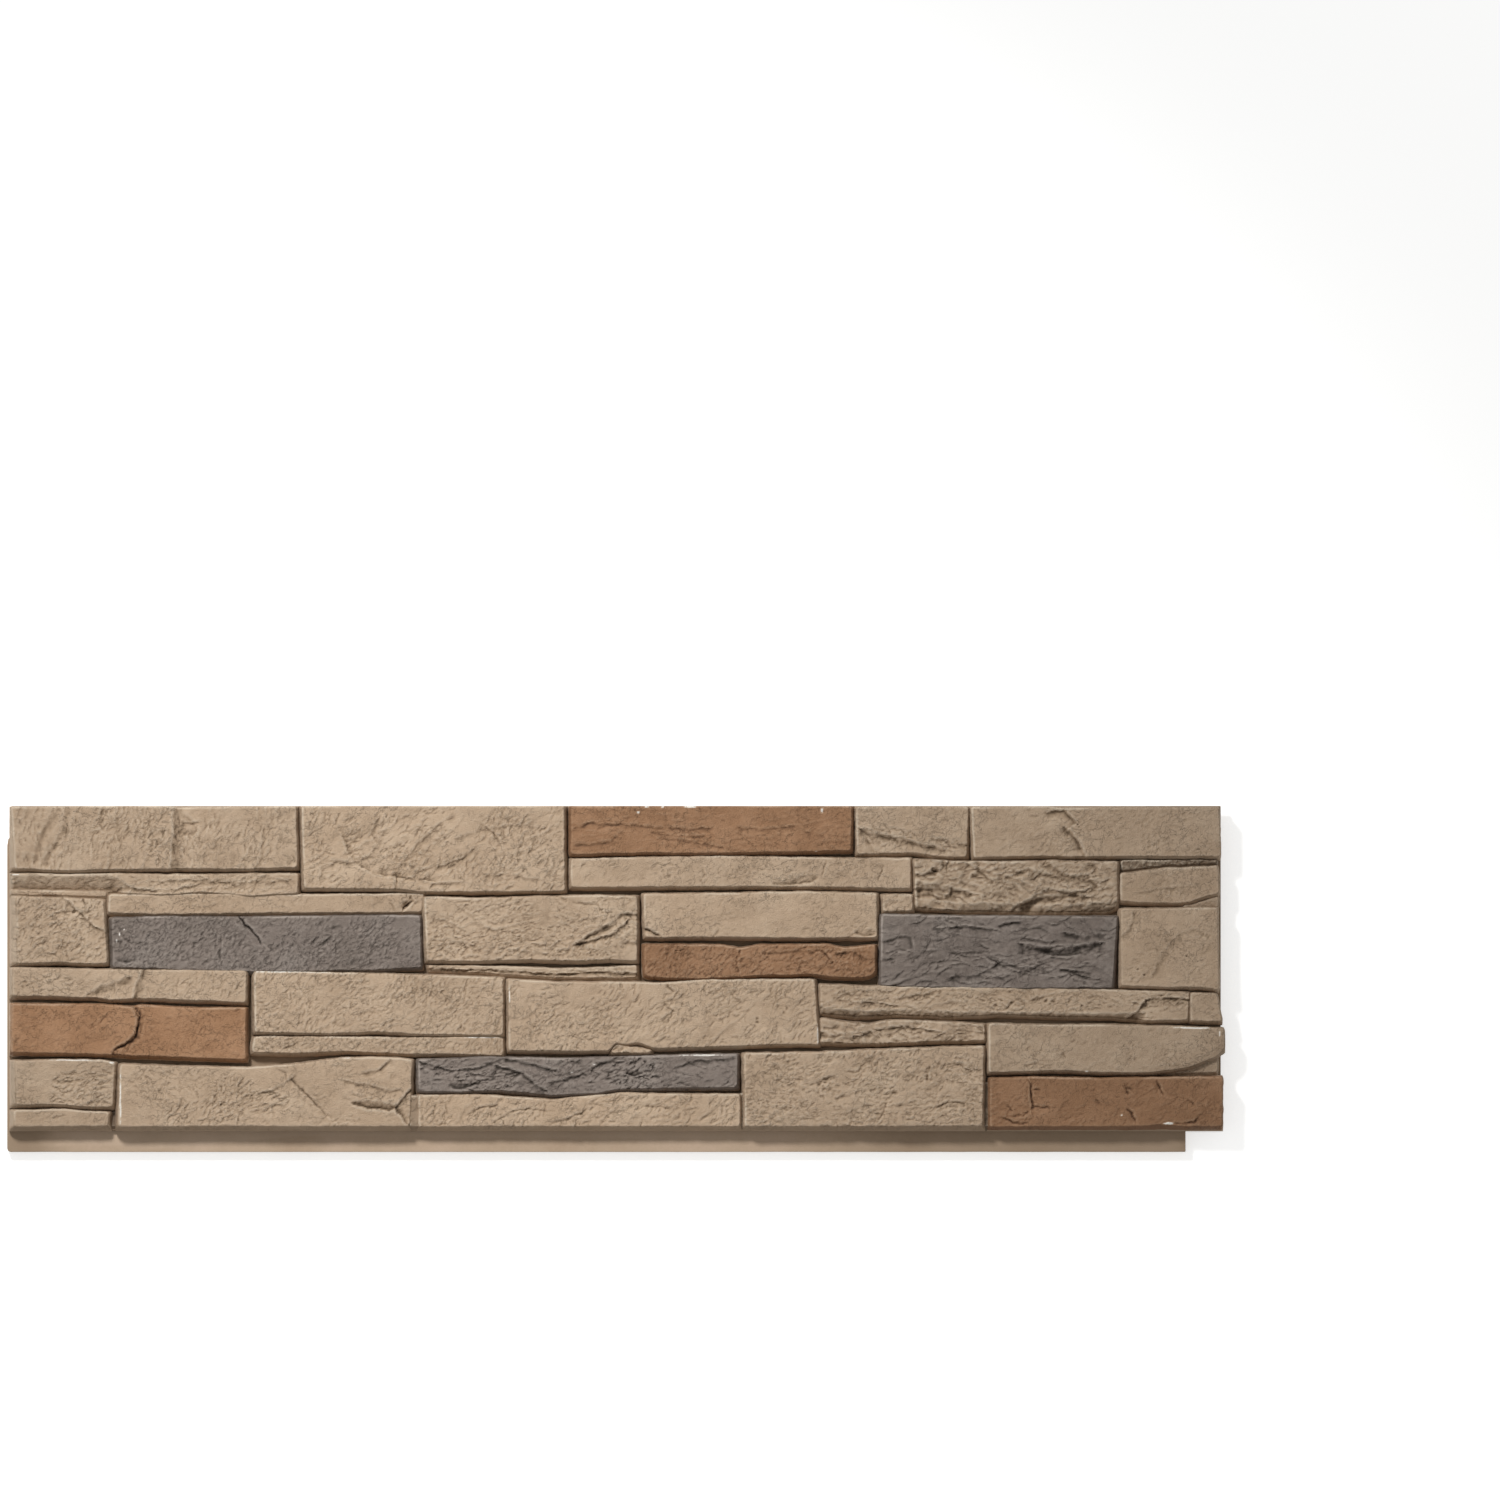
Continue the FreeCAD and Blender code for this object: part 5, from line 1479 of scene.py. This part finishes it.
@dataclass(frozen=True)
class MattePaint:
    """Water-based masonry paint sprayed on moulded polyurethane foam.

    It is dead matte and cloudy where the spray was uneven. Its colour also carries painted highlight on
    the high spots and painted shade in the low places.

    Fields:
        name: The material's name.
        painted_highlight: Its colour in painted highlights on high spots and on edges that face the lamp.
        light: Its lightest colour.
        middle: Its usual colour.
        deep: Its darkest colour.
        painted_shading_and_wear: The colour of the painted shade in low places.
        cloud_mm: Size of the spray's clouds.
        speckle_mm: Size of the specks between them.
        grit_mm: Size of the grit that the paint carries, coarser than the real one so that it shows.
        grit_depth_mm: How far the grit stands out.
        scale_mm: Size of the thin scales that have come off.
        scale_share: Their thickness, as a share of the grit's.
        roughness: How matte it is.
        sheen: Strength of what reflection is left.
        joint_painted_shade: The colour of the darker painted shade at the foot of the joints.
        foam: The colour of the foam where the paint has come off, also used for thin painted highlights
            along lit top edges.
    """

    name: str
    painted_highlight: str
    light: str
    middle: str
    deep: str
    painted_shading_and_wear: str
    cloud_mm: float = 38.0
    speckle_mm: float = 2.5
    grit_mm: float = 1.2
    grit_depth_mm: float = 0.9
    scale_mm: float = 7.0
    scale_share: float = 0.8
    roughness: float = 0.82
    sheen: float = 0.3
    joint_painted_shade: str = "#2c2218"
    foam: str = "#ece6dc"

    def material(self) -> bpy.types.Material:
        """The material with its nodes."""
        made = bpy.data.materials.new(self.name)
        made.use_nodes = True
        tree = made.node_tree
        tree.nodes.clear()
        place = add_node(tree, "ShaderNodeTexCoord").outputs["Object"]
        cloud, speckle, grit, scales = (
            add_node(tree, "ShaderNodeTexNoise", {
                "Vector": place, "Scale": 1 / (size * MM), "Detail": detail, "Roughness": fineness,
                "Distortion": bend,
            })
            for size, detail, fineness, bend in (
                (self.cloud_mm, 4.0, 0.6, 0.0),
                (self.speckle_mm, 4.0, 0.7, 0.0),
                (self.grit_mm, 3.0, 0.7, 0.0),
                (self.scale_mm, 5.0, 0.62, 0.5),
            )
        )
        both = add_node(tree, "ShaderNodeMath", {
            0: speckle.outputs["Fac"], 1: 0.35, 2: cloud.outputs["Fac"],
        }, operation="MULTIPLY_ADD")
        shade = add_node(tree, "ShaderNodeValToRGB", {"Fac": both.outputs[0]})
        ramp_stops(shade, ((0.45, self.deep), (0.66, self.middle), (0.86, self.light)))
        tint = add_node(tree, "ShaderNodeAttribute", attribute_name="tint")
        brighter = add_node(tree, "ShaderNodeMath", {0: tint.outputs["Fac"], 1: 1.0}, operation="ADD")
        tinted = add_node(tree, "ShaderNodeVectorMath", {
            0: shade.outputs["Color"], "Scale": brighter.outputs[0],
        }, operation="SCALE")
        painted_shading_and_wear = add_node(tree, "ShaderNodeAttribute", attribute_name="painted_shading_and_wear")
        colour = tinted.outputs["Vector"]
        # Each coat's colour, the attribute's value at which it begins and is full, and how much it then
        # covers: painted shade, darker painted shade in the joints, painted highlight, and foam colour
        for code, least, most, cover in (
            (self.painted_shading_and_wear, 0.0, 1.0, 1.0),
            (self.joint_painted_shade, 0.8, 1.7, 1.0),
            (self.painted_highlight, 0.0, -1.0, 0.75),
            (self.foam, -1.3, -2.2, 1.0),
        ):
            share = add_node(tree, "ShaderNodeMapRange", {
                "Value": painted_shading_and_wear.outputs["Fac"], "From Min": least, "From Max": most, "To Max": cover,
            })
            coat = add_node(tree, "ShaderNodeMix", {
                "Factor": share.outputs["Result"], "A": colour, "B": linear(code),
            }, data_type="RGBA", blend_type="MIX")
            colour = pick_socket(coat.outputs, "Result")
        edges = add_node(tree, "ShaderNodeMapRange", {
            "Value": scales.outputs["Fac"], "From Min": 0.5, "From Max": 0.53,
        })
        patches = add_node(tree, "ShaderNodeTexNoise", {
            "Vector": place, "Scale": 1 / (self.cloud_mm * MM), "Detail": 2.0, "W": 7.0,
        }, noise_dimensions="4D")
        patchy = add_node(tree, "ShaderNodeMapRange", {
            "Value": patches.outputs["Fac"], "From Min": 0.4, "From Max": 0.6, "To Max": self.scale_share,
        })
        relief = add_node(tree, "ShaderNodeMath", {
            0: edges.outputs["Result"], 1: patchy.outputs["Result"], 2: grit.outputs["Fac"],
        }, operation="MULTIPLY_ADD")
        bump = add_node(tree, "ShaderNodeBump", {
            "Height": relief.outputs[0], "Strength": 0.8, "Distance": self.grit_depth_mm * MM * 2,
        })
        dull = add_node(tree, "ShaderNodeMapRange", {
            "Value": speckle.outputs["Fac"],
            "To Min": self.roughness - 0.08, "To Max": self.roughness + 0.08,
        })
        shader = add_node(tree, "ShaderNodeBsdfPrincipled", {
            "Base Color": colour, "Roughness": dull.outputs["Result"],
            "Normal": bump.outputs["Normal"], "Specular IOR Level": self.sheen,
        })
        add_node(tree, "ShaderNodeOutputMaterial", {"Surface": shader.outputs["BSDF"]})
        return made


# Each paint's colours for painted highlight, lightest, usual and darkest, and then for painted shade
FINISHES = {
    Paint.TAN: MattePaint("tan_masonry_paint_on_polyurethane",
                          "#d6c6b0", "#bba48b", "#b39b82", "#aa9279", "#77634d"),
    Paint.BROWN: MattePaint("brown_masonry_paint_on_polyurethane",
                            "#bb9d82", "#9f7a5c", "#967153", "#8d694c", "#5c412d"),
    Paint.GREY: MattePaint("grey_masonry_paint_on_polyurethane",
                           "#aea399", "#887d74", "#7e7269", "#756a61", "#4a423b"),
    Paint.BARE: MattePaint("tan_moulded_polyurethane",
                           "#c2ad97", "#b8a18b", "#b09a83", "#a8917a", "#7d6953",
                           cloud_mm=60, grit_mm=2.2, grit_depth_mm=0.1, scale_share=0.0),
}


@dataclass
class SplitGrain:
    """The fine grain of the split faces, which Geometry Nodes press into a finished course.

    Fields:
        depth_mm: How far the grain goes up and down.
        size_mm: The size of a grain.
        seed: Picks the pattern.
    """

    depth_mm: float = 0.4
    size_mm: float = 1.9
    seed: float = 4.0

    def tree(self, finishes: dict[Paint, bpy.types.Material]) -> bpy.types.GeometryNodeTree:
        """The node tree.

        Args:
            finishes: The material for each paint.

        Returns:
            A tree that lifts points by a noise and gives each face the material of its paint.
        """
        made = bpy.data.node_groups.new("split_grain", "GeometryNodeTree")
        made.interface.new_socket("Geometry", in_out="INPUT", socket_type="NodeSocketGeometry")
        made.interface.new_socket("Geometry", in_out="OUTPUT", socket_type="NodeSocketGeometry")
        for name in ("Grain Depth", "Grain Size", "Grain Seed"):
            made.interface.new_socket(name, in_out="INPUT", socket_type="NodeSocketFloat")
        given = add_node(made, "NodeGroupInput").outputs
        place = add_node(made, "GeometryNodeInputPosition").outputs["Position"]
        finer = add_node(made, "ShaderNodeMath", {0: 1.0, 1: given["Grain Size"]}, operation="DIVIDE")
        noise = add_node(made, "ShaderNodeTexNoise", {
            "Vector": place, "W": given["Grain Seed"], "Scale": finer.outputs[0],
            "Detail": 2.0, "Roughness": 0.55,
        }, noise_dimensions="4D")
        level = add_node(made, "ShaderNodeMath", {0: noise.outputs[0], 1: 0.5}, operation="SUBTRACT")
        share = add_node(made, "GeometryNodeInputNamedAttribute", {"Name": "grain"}, data_type="FLOAT")
        masked = add_node(made, "ShaderNodeMath", {
            0: level.outputs[0], 1: share.outputs["Attribute"],
        }, operation="MULTIPLY")
        lift = add_node(made, "ShaderNodeMath", {
            0: masked.outputs[0], 1: given["Grain Depth"],
        }, operation="MULTIPLY")
        offset = add_node(made, "ShaderNodeCombineXYZ", {"Z": lift.outputs[0]})
        moved = add_node(made, "GeometryNodeSetPosition", {
            "Geometry": given["Geometry"], "Offset": offset.outputs["Vector"],
        })
        flow = add_node(made, "GeometryNodeRealizeInstances", {"Geometry": moved.outputs["Geometry"]})
        paint = add_node(made, "GeometryNodeInputNamedAttribute", {"Name": "paint"}, data_type="INT")
        for kind, finish in finishes.items():
            chosen = add_node(made, "FunctionNodeCompare", data_type="INT", operation="EQUAL")
            made.links.new(paint.outputs["Attribute"], chosen.inputs[2])
            chosen.inputs[3].default_value = kind.value
            flow = add_node(made, "GeometryNodeSetMaterial", {
                "Geometry": flow.outputs["Geometry"], "Selection": chosen.outputs["Result"],
                "Material": finish,
            })
        add_node(made, "NodeGroupOutput", {"Geometry": flow.outputs["Geometry"]})
        return made

    def press(self, piece: bpy.types.Object, tree: bpy.types.GeometryNodeTree) -> None:
        """Runs the tree on a piece and keeps the result as a plain mesh.

        Args:
            piece: The piece.
            tree: The tree that this class made.
        """
        modifier = piece.modifiers.new("split_grain", "NODES")
        modifier.node_group = tree
        values = {
            "Grain Depth": 2 * self.depth_mm * MM, "Grain Size": self.size_mm * MM, "Grain Seed": self.seed,
        }
        for item in tree.interface.items_tree:
            if item.in_out == "INPUT" and item.name in values:
                modifier[item.identifier] = values[item.name]
        graph = bpy.context.evaluated_depsgraph_get()
        finished = bpy.data.meshes.new_from_object(piece.evaluated_get(graph))
        rough = piece.data
        piece.modifiers.clear()
        piece.data = finished
        bpy.data.meshes.remove(rough)


@dataclass
class Course:
    """One course of stones, as one mesh.

    Fields:
        name: The piece's name.
        stones: Its stones.
        moulding: How they are moulded.
    """

    name: str
    stones: tuple[Stone, ...]
    moulding: Moulding

    def build(self) -> bpy.types.Object:
        """The course's mesh, without its grain."""
        skin = Skin()
        for stone in self.stones:
            self.moulding.build(stone, skin)
            log.debug("%s: %d points after %s", self.name, skin.count, stone.name)
        return skin.make_object(self.name)


# The ways out of a lattice cell, each with the corners of the cell's face on that side
CELL_SIDES = (
    ((1, 0, 0), ((1, 0, 0), (1, 1, 0), (1, 1, 1), (1, 0, 1))),
    ((-1, 0, 0), ((0, 0, 0), (0, 0, 1), (0, 1, 1), (0, 1, 0))),
    ((0, 1, 0), ((0, 1, 0), (0, 1, 1), (1, 1, 1), (1, 1, 0))),
    ((0, -1, 0), ((0, 0, 0), (1, 0, 0), (1, 0, 1), (0, 0, 1))),
    ((0, 0, 1), ((0, 0, 1), (1, 0, 1), (1, 1, 1), (0, 1, 1))),
    ((0, 0, -1), ((0, 0, 0), (0, 1, 0), (1, 1, 0), (1, 0, 0))),
)

# Where the flange's front and the board's own lie among the lattice's levels, which count from its back
FLANGE_FRONT = 1
BOARD_FRONT = 3


@dataclass
class Backing:
    """The board behind the stones, with its flange and shiplap rebates, in millimetres.

    Fields:
        plan: The board seen from above.
        name: The piece's name.
        thickness: Its thickness under the stones.
        flange: Thickness of the flange.
        lap_depth: Depth of both rebates.
        corner: Radius of the flange's corners.
        cell: Spacing of its mesh.
        flange_cell: The same across the flange.
        unevenness: How wavy the cast surface is.
        rim_waver: How wavy the panel's lower rim is.
        worn_edge: Width of the worn edges.
        edge_angle: The least bend that counts as an edge, in degrees.
        end_trim: How much shorter the board is than the panel, at its right end.
        shade_line: How far down the flange the stones' shadow reaches, from left to right; the flange is
            painted lighter above it.
    """

    plan: BoardPlan = BoardPlan()
    name: str = "backing"
    thickness: float = 16.0
    flange: float = 11.0
    lap_depth: float = 12.0
    corner: float = 3.5
    cell: float = 7.0
    flange_cell: float = 1.5
    unevenness: float = 0.35
    rim_waver: float = 0.35
    worn_edge: float = 0.9
    edge_angle: float = 50.0
    end_trim: float = 6.0
    shade_line: Line = (
        (0, 19), (19, 19), (23, 4), (38, 3), (74, 6), (127, 1), (190, 6), (260, 13), (436, 11),
        (613, 10), (700, 8), (790, 3), (878, 5), (967, 1), (1011, 0), (1080, 0),
    )

    def lines(self, breaks: tuple[float, ...]) -> Array:
        """Mesh lines, evenly spaced between breaks and closer on the flange.

        Args:
            breaks: Places that must have a line, in order.

        Returns:
            The place of each line.
        """
        runs = [
            np.linspace(start, end, max(2, math.ceil((end - start) / cell) + 1))[:-1]
            for start, end in zip(breaks, breaks[1:])
            for cell in [self.flange_cell if end <= self.plan.bottom_flange else self.cell]
        ]
        return np.concatenate(runs + [np.array([breaks[-1]])])

    def filled(self, xs: Array, ys: Array) -> Array:
        """Which cells of the board's lattice are foam, level by level from the back.

        Args:
            xs: The lattice's places along the panel.
            ys: Its places up the panel.

        Returns:
            Whether each cell is filled.
        """
        middle_x, middle_y = np.meshgrid((xs[1:] + xs[:-1]) / 2, (ys[1:] + ys[:-1]) / 2, indexing="ij")
        lapped = (middle_x > self.plan.lap_x) | (middle_y > self.plan.lap_y)
        stones = (middle_x > self.plan.left_flange) & (middle_y > self.plan.bottom_flange)
        return np.stack([~lapped, stones & ~lapped, stones], -1)

    def add_outside(self, solid: Array, skin: Skin) -> Array:
        """Adds the faces between filled cells and empty ones.

        Args:
            solid: Whether each cell is filled.
            skin: The mesh they join.

        Returns:
            For each of the mesh's points, the numbers of its place along, up and through the panel.
        """
        numbers: dict[tuple[int, ...], int] = {}
        quads: list[list[int]] = []
        boxed = np.pad(solid, 1)
        for cell in np.argwhere(solid):
            for step, quad in CELL_SIDES:
                if not boxed[tuple(cell + 1 + np.array(step))]:
                    keys = (tuple((cell + np.array(point)).tolist()) for point in quad)
                    quads.append([numbers.setdefault(key, len(numbers)) for key in keys])
        skin.add_faces(np.array(quads), Paint.BARE)
        return np.array(list(numbers))

    def round_corners(self, x: Array, y: Array) -> tuple[Array, Array]:
        """Rounds the flange's lower left corner and the one under the top rebate.

        Args:
            x: The points' first coordinates.
            y: Their second coordinates.

        Returns:
            The coordinates with the points in both corners moved in.
        """
        lap_y = self.plan.lap_y
        for middle, way in ((self.corner, -1), (lap_y - self.corner, 1)):
            arm_x = np.clip(self.corner - x, 0, None)
            arm_y = np.where(y <= lap_y, np.clip(way * (y - middle), 0, self.corner), 0)
            shrink = corner_shrink(arm_x, arm_y)
            x = x + arm_x * (1 - shrink)
            y = y - way * arm_y * (1 - shrink)
        return x, y

    def painted_shading_and_wear(self, x: Array, y: Array, level: Array) -> Array:
        """The board's painted shading: painted shade in the joints and towards both ends of the flange, and
        painted light on the flange in the stones' shadow.

        Args:
            x: The points' first coordinates.
            y: Their second coordinates.
            level: Their lattice levels.

        Returns:
            The painted shading at each point.
        """
        # The flange is painted lighter where the stones' shadow falls on it, above the shade line.
        shaded = smooth((y - np.interp(x, *zip(*self.shade_line))) / 3.0) * smooth((x - 12) / 8)
        shaded = np.where(y <= self.plan.bottom_flange + 0.5, shaded, 0)
        along = x / self.plan.length
        # Painted shade towards both ends of the flange, where less light falls.
        ends = smooth((0.06 - along) / 0.04) + smooth((along - 0.58) / 0.2)
        flange = np.where(level == FLANGE_FRONT, 0.5 * ends - 0.4 * shaded * (1 - ends), 0.0)
        # Painted shade in the joints, on the board between the stones.
        return np.where(level == BOARD_FRONT, self.plan.joint_painted_shade(x, y, 0.7, 0.4), flange)

    def build(self) -> bpy.types.Object:
        """The board's closed mesh, with its edges a little worn."""
        plan = self.plan
        xs = self.lines((0, self.corner, plan.left_flange, plan.lap_x, plan.length - self.end_trim))
        ys = self.lines((0, self.corner, plan.bottom_flange, plan.lap_y, plan.height))
        zs = np.array([0, self.flange, self.lap_depth, self.thickness])
        skin = Skin()
        corners = self.add_outside(self.filled(xs, ys), skin)
        level = corners[:, 2]
        x, y = self.round_corners(xs[corners[:, 0]], ys[corners[:, 1]])
        front = (level == FLANGE_FRONT) | (level == BOARD_FRONT)
        wave = layered_noise(x, y, 70, 5, 3) - 0.6
        z = zs[level] + np.where(front, self.unevenness * wave, 0)
        y = np.where(y < 0.01, self.rim_waver * np.abs(layered_noise(x, y, 60, 9, 3)), y)
        skin.add_points(np.stack([x, y, z], -1), self.painted_shading_and_wear(x, y, level), 0.0, np.zeros(len(x)))
        made = skin.make_object(self.name)
        edge = made.modifiers.new("worn_edge", "BEVEL")
        edge.width = self.worn_edge * MM
        edge.segments = 2
        edge.limit_method = "ANGLE"
        edge.angle_limit = math.radians(self.edge_angle)
        return made


@dataclass
class Studio:
    """The floor, the lamps and the camera, in metres from the middle of the panel's back.

    Fields:
        picture: Width and height of the picture that the framing is for, in pixels.
        panel_left: Where the panel's left end lies in it.
        panel_right: Where its right end lies.
        panel_top: Where its top edge lies.
        panel_bottom: Where its bottom edge lies.
        lens_mm: The camera's lens.
        sensor_mm: Width of its sensor.
        sight: How far the camera sees.
        floor_reach: How far the floor goes each way.
        floor_gap: How far it lies under the panel.
        floor_glow: Strength of the glow that keeps it white to the camera.
        sky: Strength of the even light from all around.
        key_watts: Power of the key lamp.
        key_angle: Width of its cone, in degrees.
        key_radius: Its size, which softens its shadows.
        key_place: Where it stands.
        key_aim: Where it points.
    """

    picture: float = 1500.0
    panel_left: float = 6.5
    panel_right: float = 1228.0
    panel_top: float = 806.0
    panel_bottom: float = 1152.0
    lens_mm: float = 600.0
    sensor_mm: float = 36.0
    sight: float = 60.0
    floor_reach: float = 6.0
    floor_gap: float = 0.0002
    floor_glow: float = 0.55
    sky: float = 0.44
    key_watts: float = 228.0
    key_angle: float = 44.0
    key_radius: float = 0.22
    key_place: tuple[float, float, float] = (-0.9, 1.4, 1.95)
    key_aim: tuple[float, float, float] = (-0.1, 0.0, 0.0)

    def build(self) -> None:
        """Makes all of it."""
        self.build_floor()
        self.build_camera()
        self.build_lamps()

    def build_floor(self) -> None:
        """A wide white floor, which stays white to the camera and keeps the panel's shadow."""
        reach = self.floor_reach
        level = CAD_LOW[2] - self.floor_gap
        corners = [(x * reach, y * reach, level) for x, y in ((-1, -1), (1, -1), (1, 1), (-1, 1))]
        mesh = bpy.data.meshes.new("floor")
        mesh.from_pydata(corners, [], [(0, 1, 2, 3)])
        mesh.materials.append(self.paper())
        floor = bpy.data.objects.new("floor", mesh)
        bpy.context.scene.collection.objects.link(floor)

    def paper(self) -> bpy.types.Material:
        """White studio paper, which glows to the camera but not to the panel."""
        made = bpy.data.materials.new("white_studio_paper")
        made.use_nodes = True
        tree = made.node_tree
        tree.nodes.clear()
        paper = add_node(tree, "ShaderNodeBsdfDiffuse", {"Color": linear("#f4f4f2")})
        glow = add_node(tree, "ShaderNodeEmission", {
            "Color": linear("#ffffff"), "Strength": self.floor_glow,
        })
        both = add_node(tree, "ShaderNodeAddShader", {0: paper.outputs[0], 1: glow.outputs[0]})
        path = add_node(tree, "ShaderNodeLightPath")
        seen = path.outputs["Is Camera Ray"]
        for ray in ("Is Glossy Ray", "Is Transmission Ray"):
            either = add_node(tree, "ShaderNodeMath", {0: seen, 1: path.outputs[ray]}, operation="MAXIMUM")
            seen = either.outputs[0]
        mixed = add_node(tree, "ShaderNodeMixShader", {0: seen, 1: paper.outputs[0], 2: both.outputs[0]})
        add_node(tree, "ShaderNodeOutputMaterial", {"Surface": mixed.outputs[0]})
        return made

    def build_camera(self) -> None:
        """A camera straight above the panel's middle, shifted to the picture's framing."""
        shown = self.panel_right - self.panel_left
        width = (CAD_HIGH[0] - CAD_LOW[0]) * self.picture / shown
        data = bpy.data.cameras.new("camera")
        data.lens = self.lens_mm
        data.sensor_width = self.sensor_mm
        middle_x = (self.panel_left + self.panel_right) / 2 / self.picture
        middle_y = (self.panel_top + self.panel_bottom) / 2 / self.picture
        data.shift_x = 0.5 - middle_x
        data.shift_y = middle_y - 0.5
        data.clip_end = self.sight
        camera = bpy.data.objects.new("camera", data)
        camera.location = (0, 0, CAD_HIGH[2] + width * self.lens_mm / self.sensor_mm)
        bpy.context.scene.collection.objects.link(camera)
        bpy.context.scene.camera = camera

    def build_lamps(self) -> None:
        """A soft spot above the panel's top edge, to the left, which fades to the right, and an even sky."""
        world = bpy.data.worlds.new("studio")
        world.use_nodes = True
        sky = world.node_tree.nodes["Background"]
        sky.inputs["Color"].default_value = linear("#ffffff")
        sky.inputs["Strength"].default_value = self.sky
        bpy.context.scene.world = world
        key = bpy.data.lights.new("key", "SPOT")
        key.spot_size = math.radians(self.key_angle)
        key.spot_blend = 1.0
        key.shadow_soft_size = self.key_radius
        key.energy = self.key_watts
        lamp = bpy.data.objects.new("key", key)
        lamp.location = self.key_place
        aim = Vector(self.key_aim) - lamp.location
        lamp.rotation_euler = aim.to_track_quat("-Z", "Y").to_euler()
        bpy.context.scene.collection.objects.link(lamp)


# The least bend between two faces that stays sharp in the shading, in degrees
SHARP_ANGLE = 48

# The crown course has the most stones, and a mesh this coarse keeps it under 200,000 triangles
CROWN_PITCH = 1.07


def finish_piece(piece: bpy.types.Object) -> None:
    """Smooths a piece's shading, puts it on the panel's body and lets it stand for the CAD node.

    Args:
        piece: The finished piece.
    """
    piece.data.shade_smooth()
    piece.data.set_sharp_from_angle(angle=math.radians(SHARP_ANGLE))
    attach(piece, BODY)
    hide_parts(NODE)
    low, high = np.array([piece.bound_box[0], piece.bound_box[6]]).round(4)
    log.info("%s: %d faces, from %s to %s", piece.name, len(piece.data.polygons), low, high)


def main() -> None:
    """Builds the studio and the panel."""
    bpy.context.scene.view_settings.view_transform = "Standard"
    Studio().build()
    finishes = {paint: finish.material() for paint, finish in FINISHES.items()}
    grain = SplitGrain()
    tree = grain.tree(finishes)
    moulding = Moulding()
    parts = (
        Course("crown_course", CROWN_STONES, Moulding(pitch=CROWN_PITCH)),
        Course("upper_course", UPPER_STONES, moulding),
        Course("lower_course", LOWER_STONES, moulding),
        Course("foot_course", FOOT_STONES, moulding),
        Backing(),
    )
    for part in parts:
        piece = part.build()
        grain.press(piece, tree)
        finish_piece(piece)


if __name__ == "__main__":
    main()
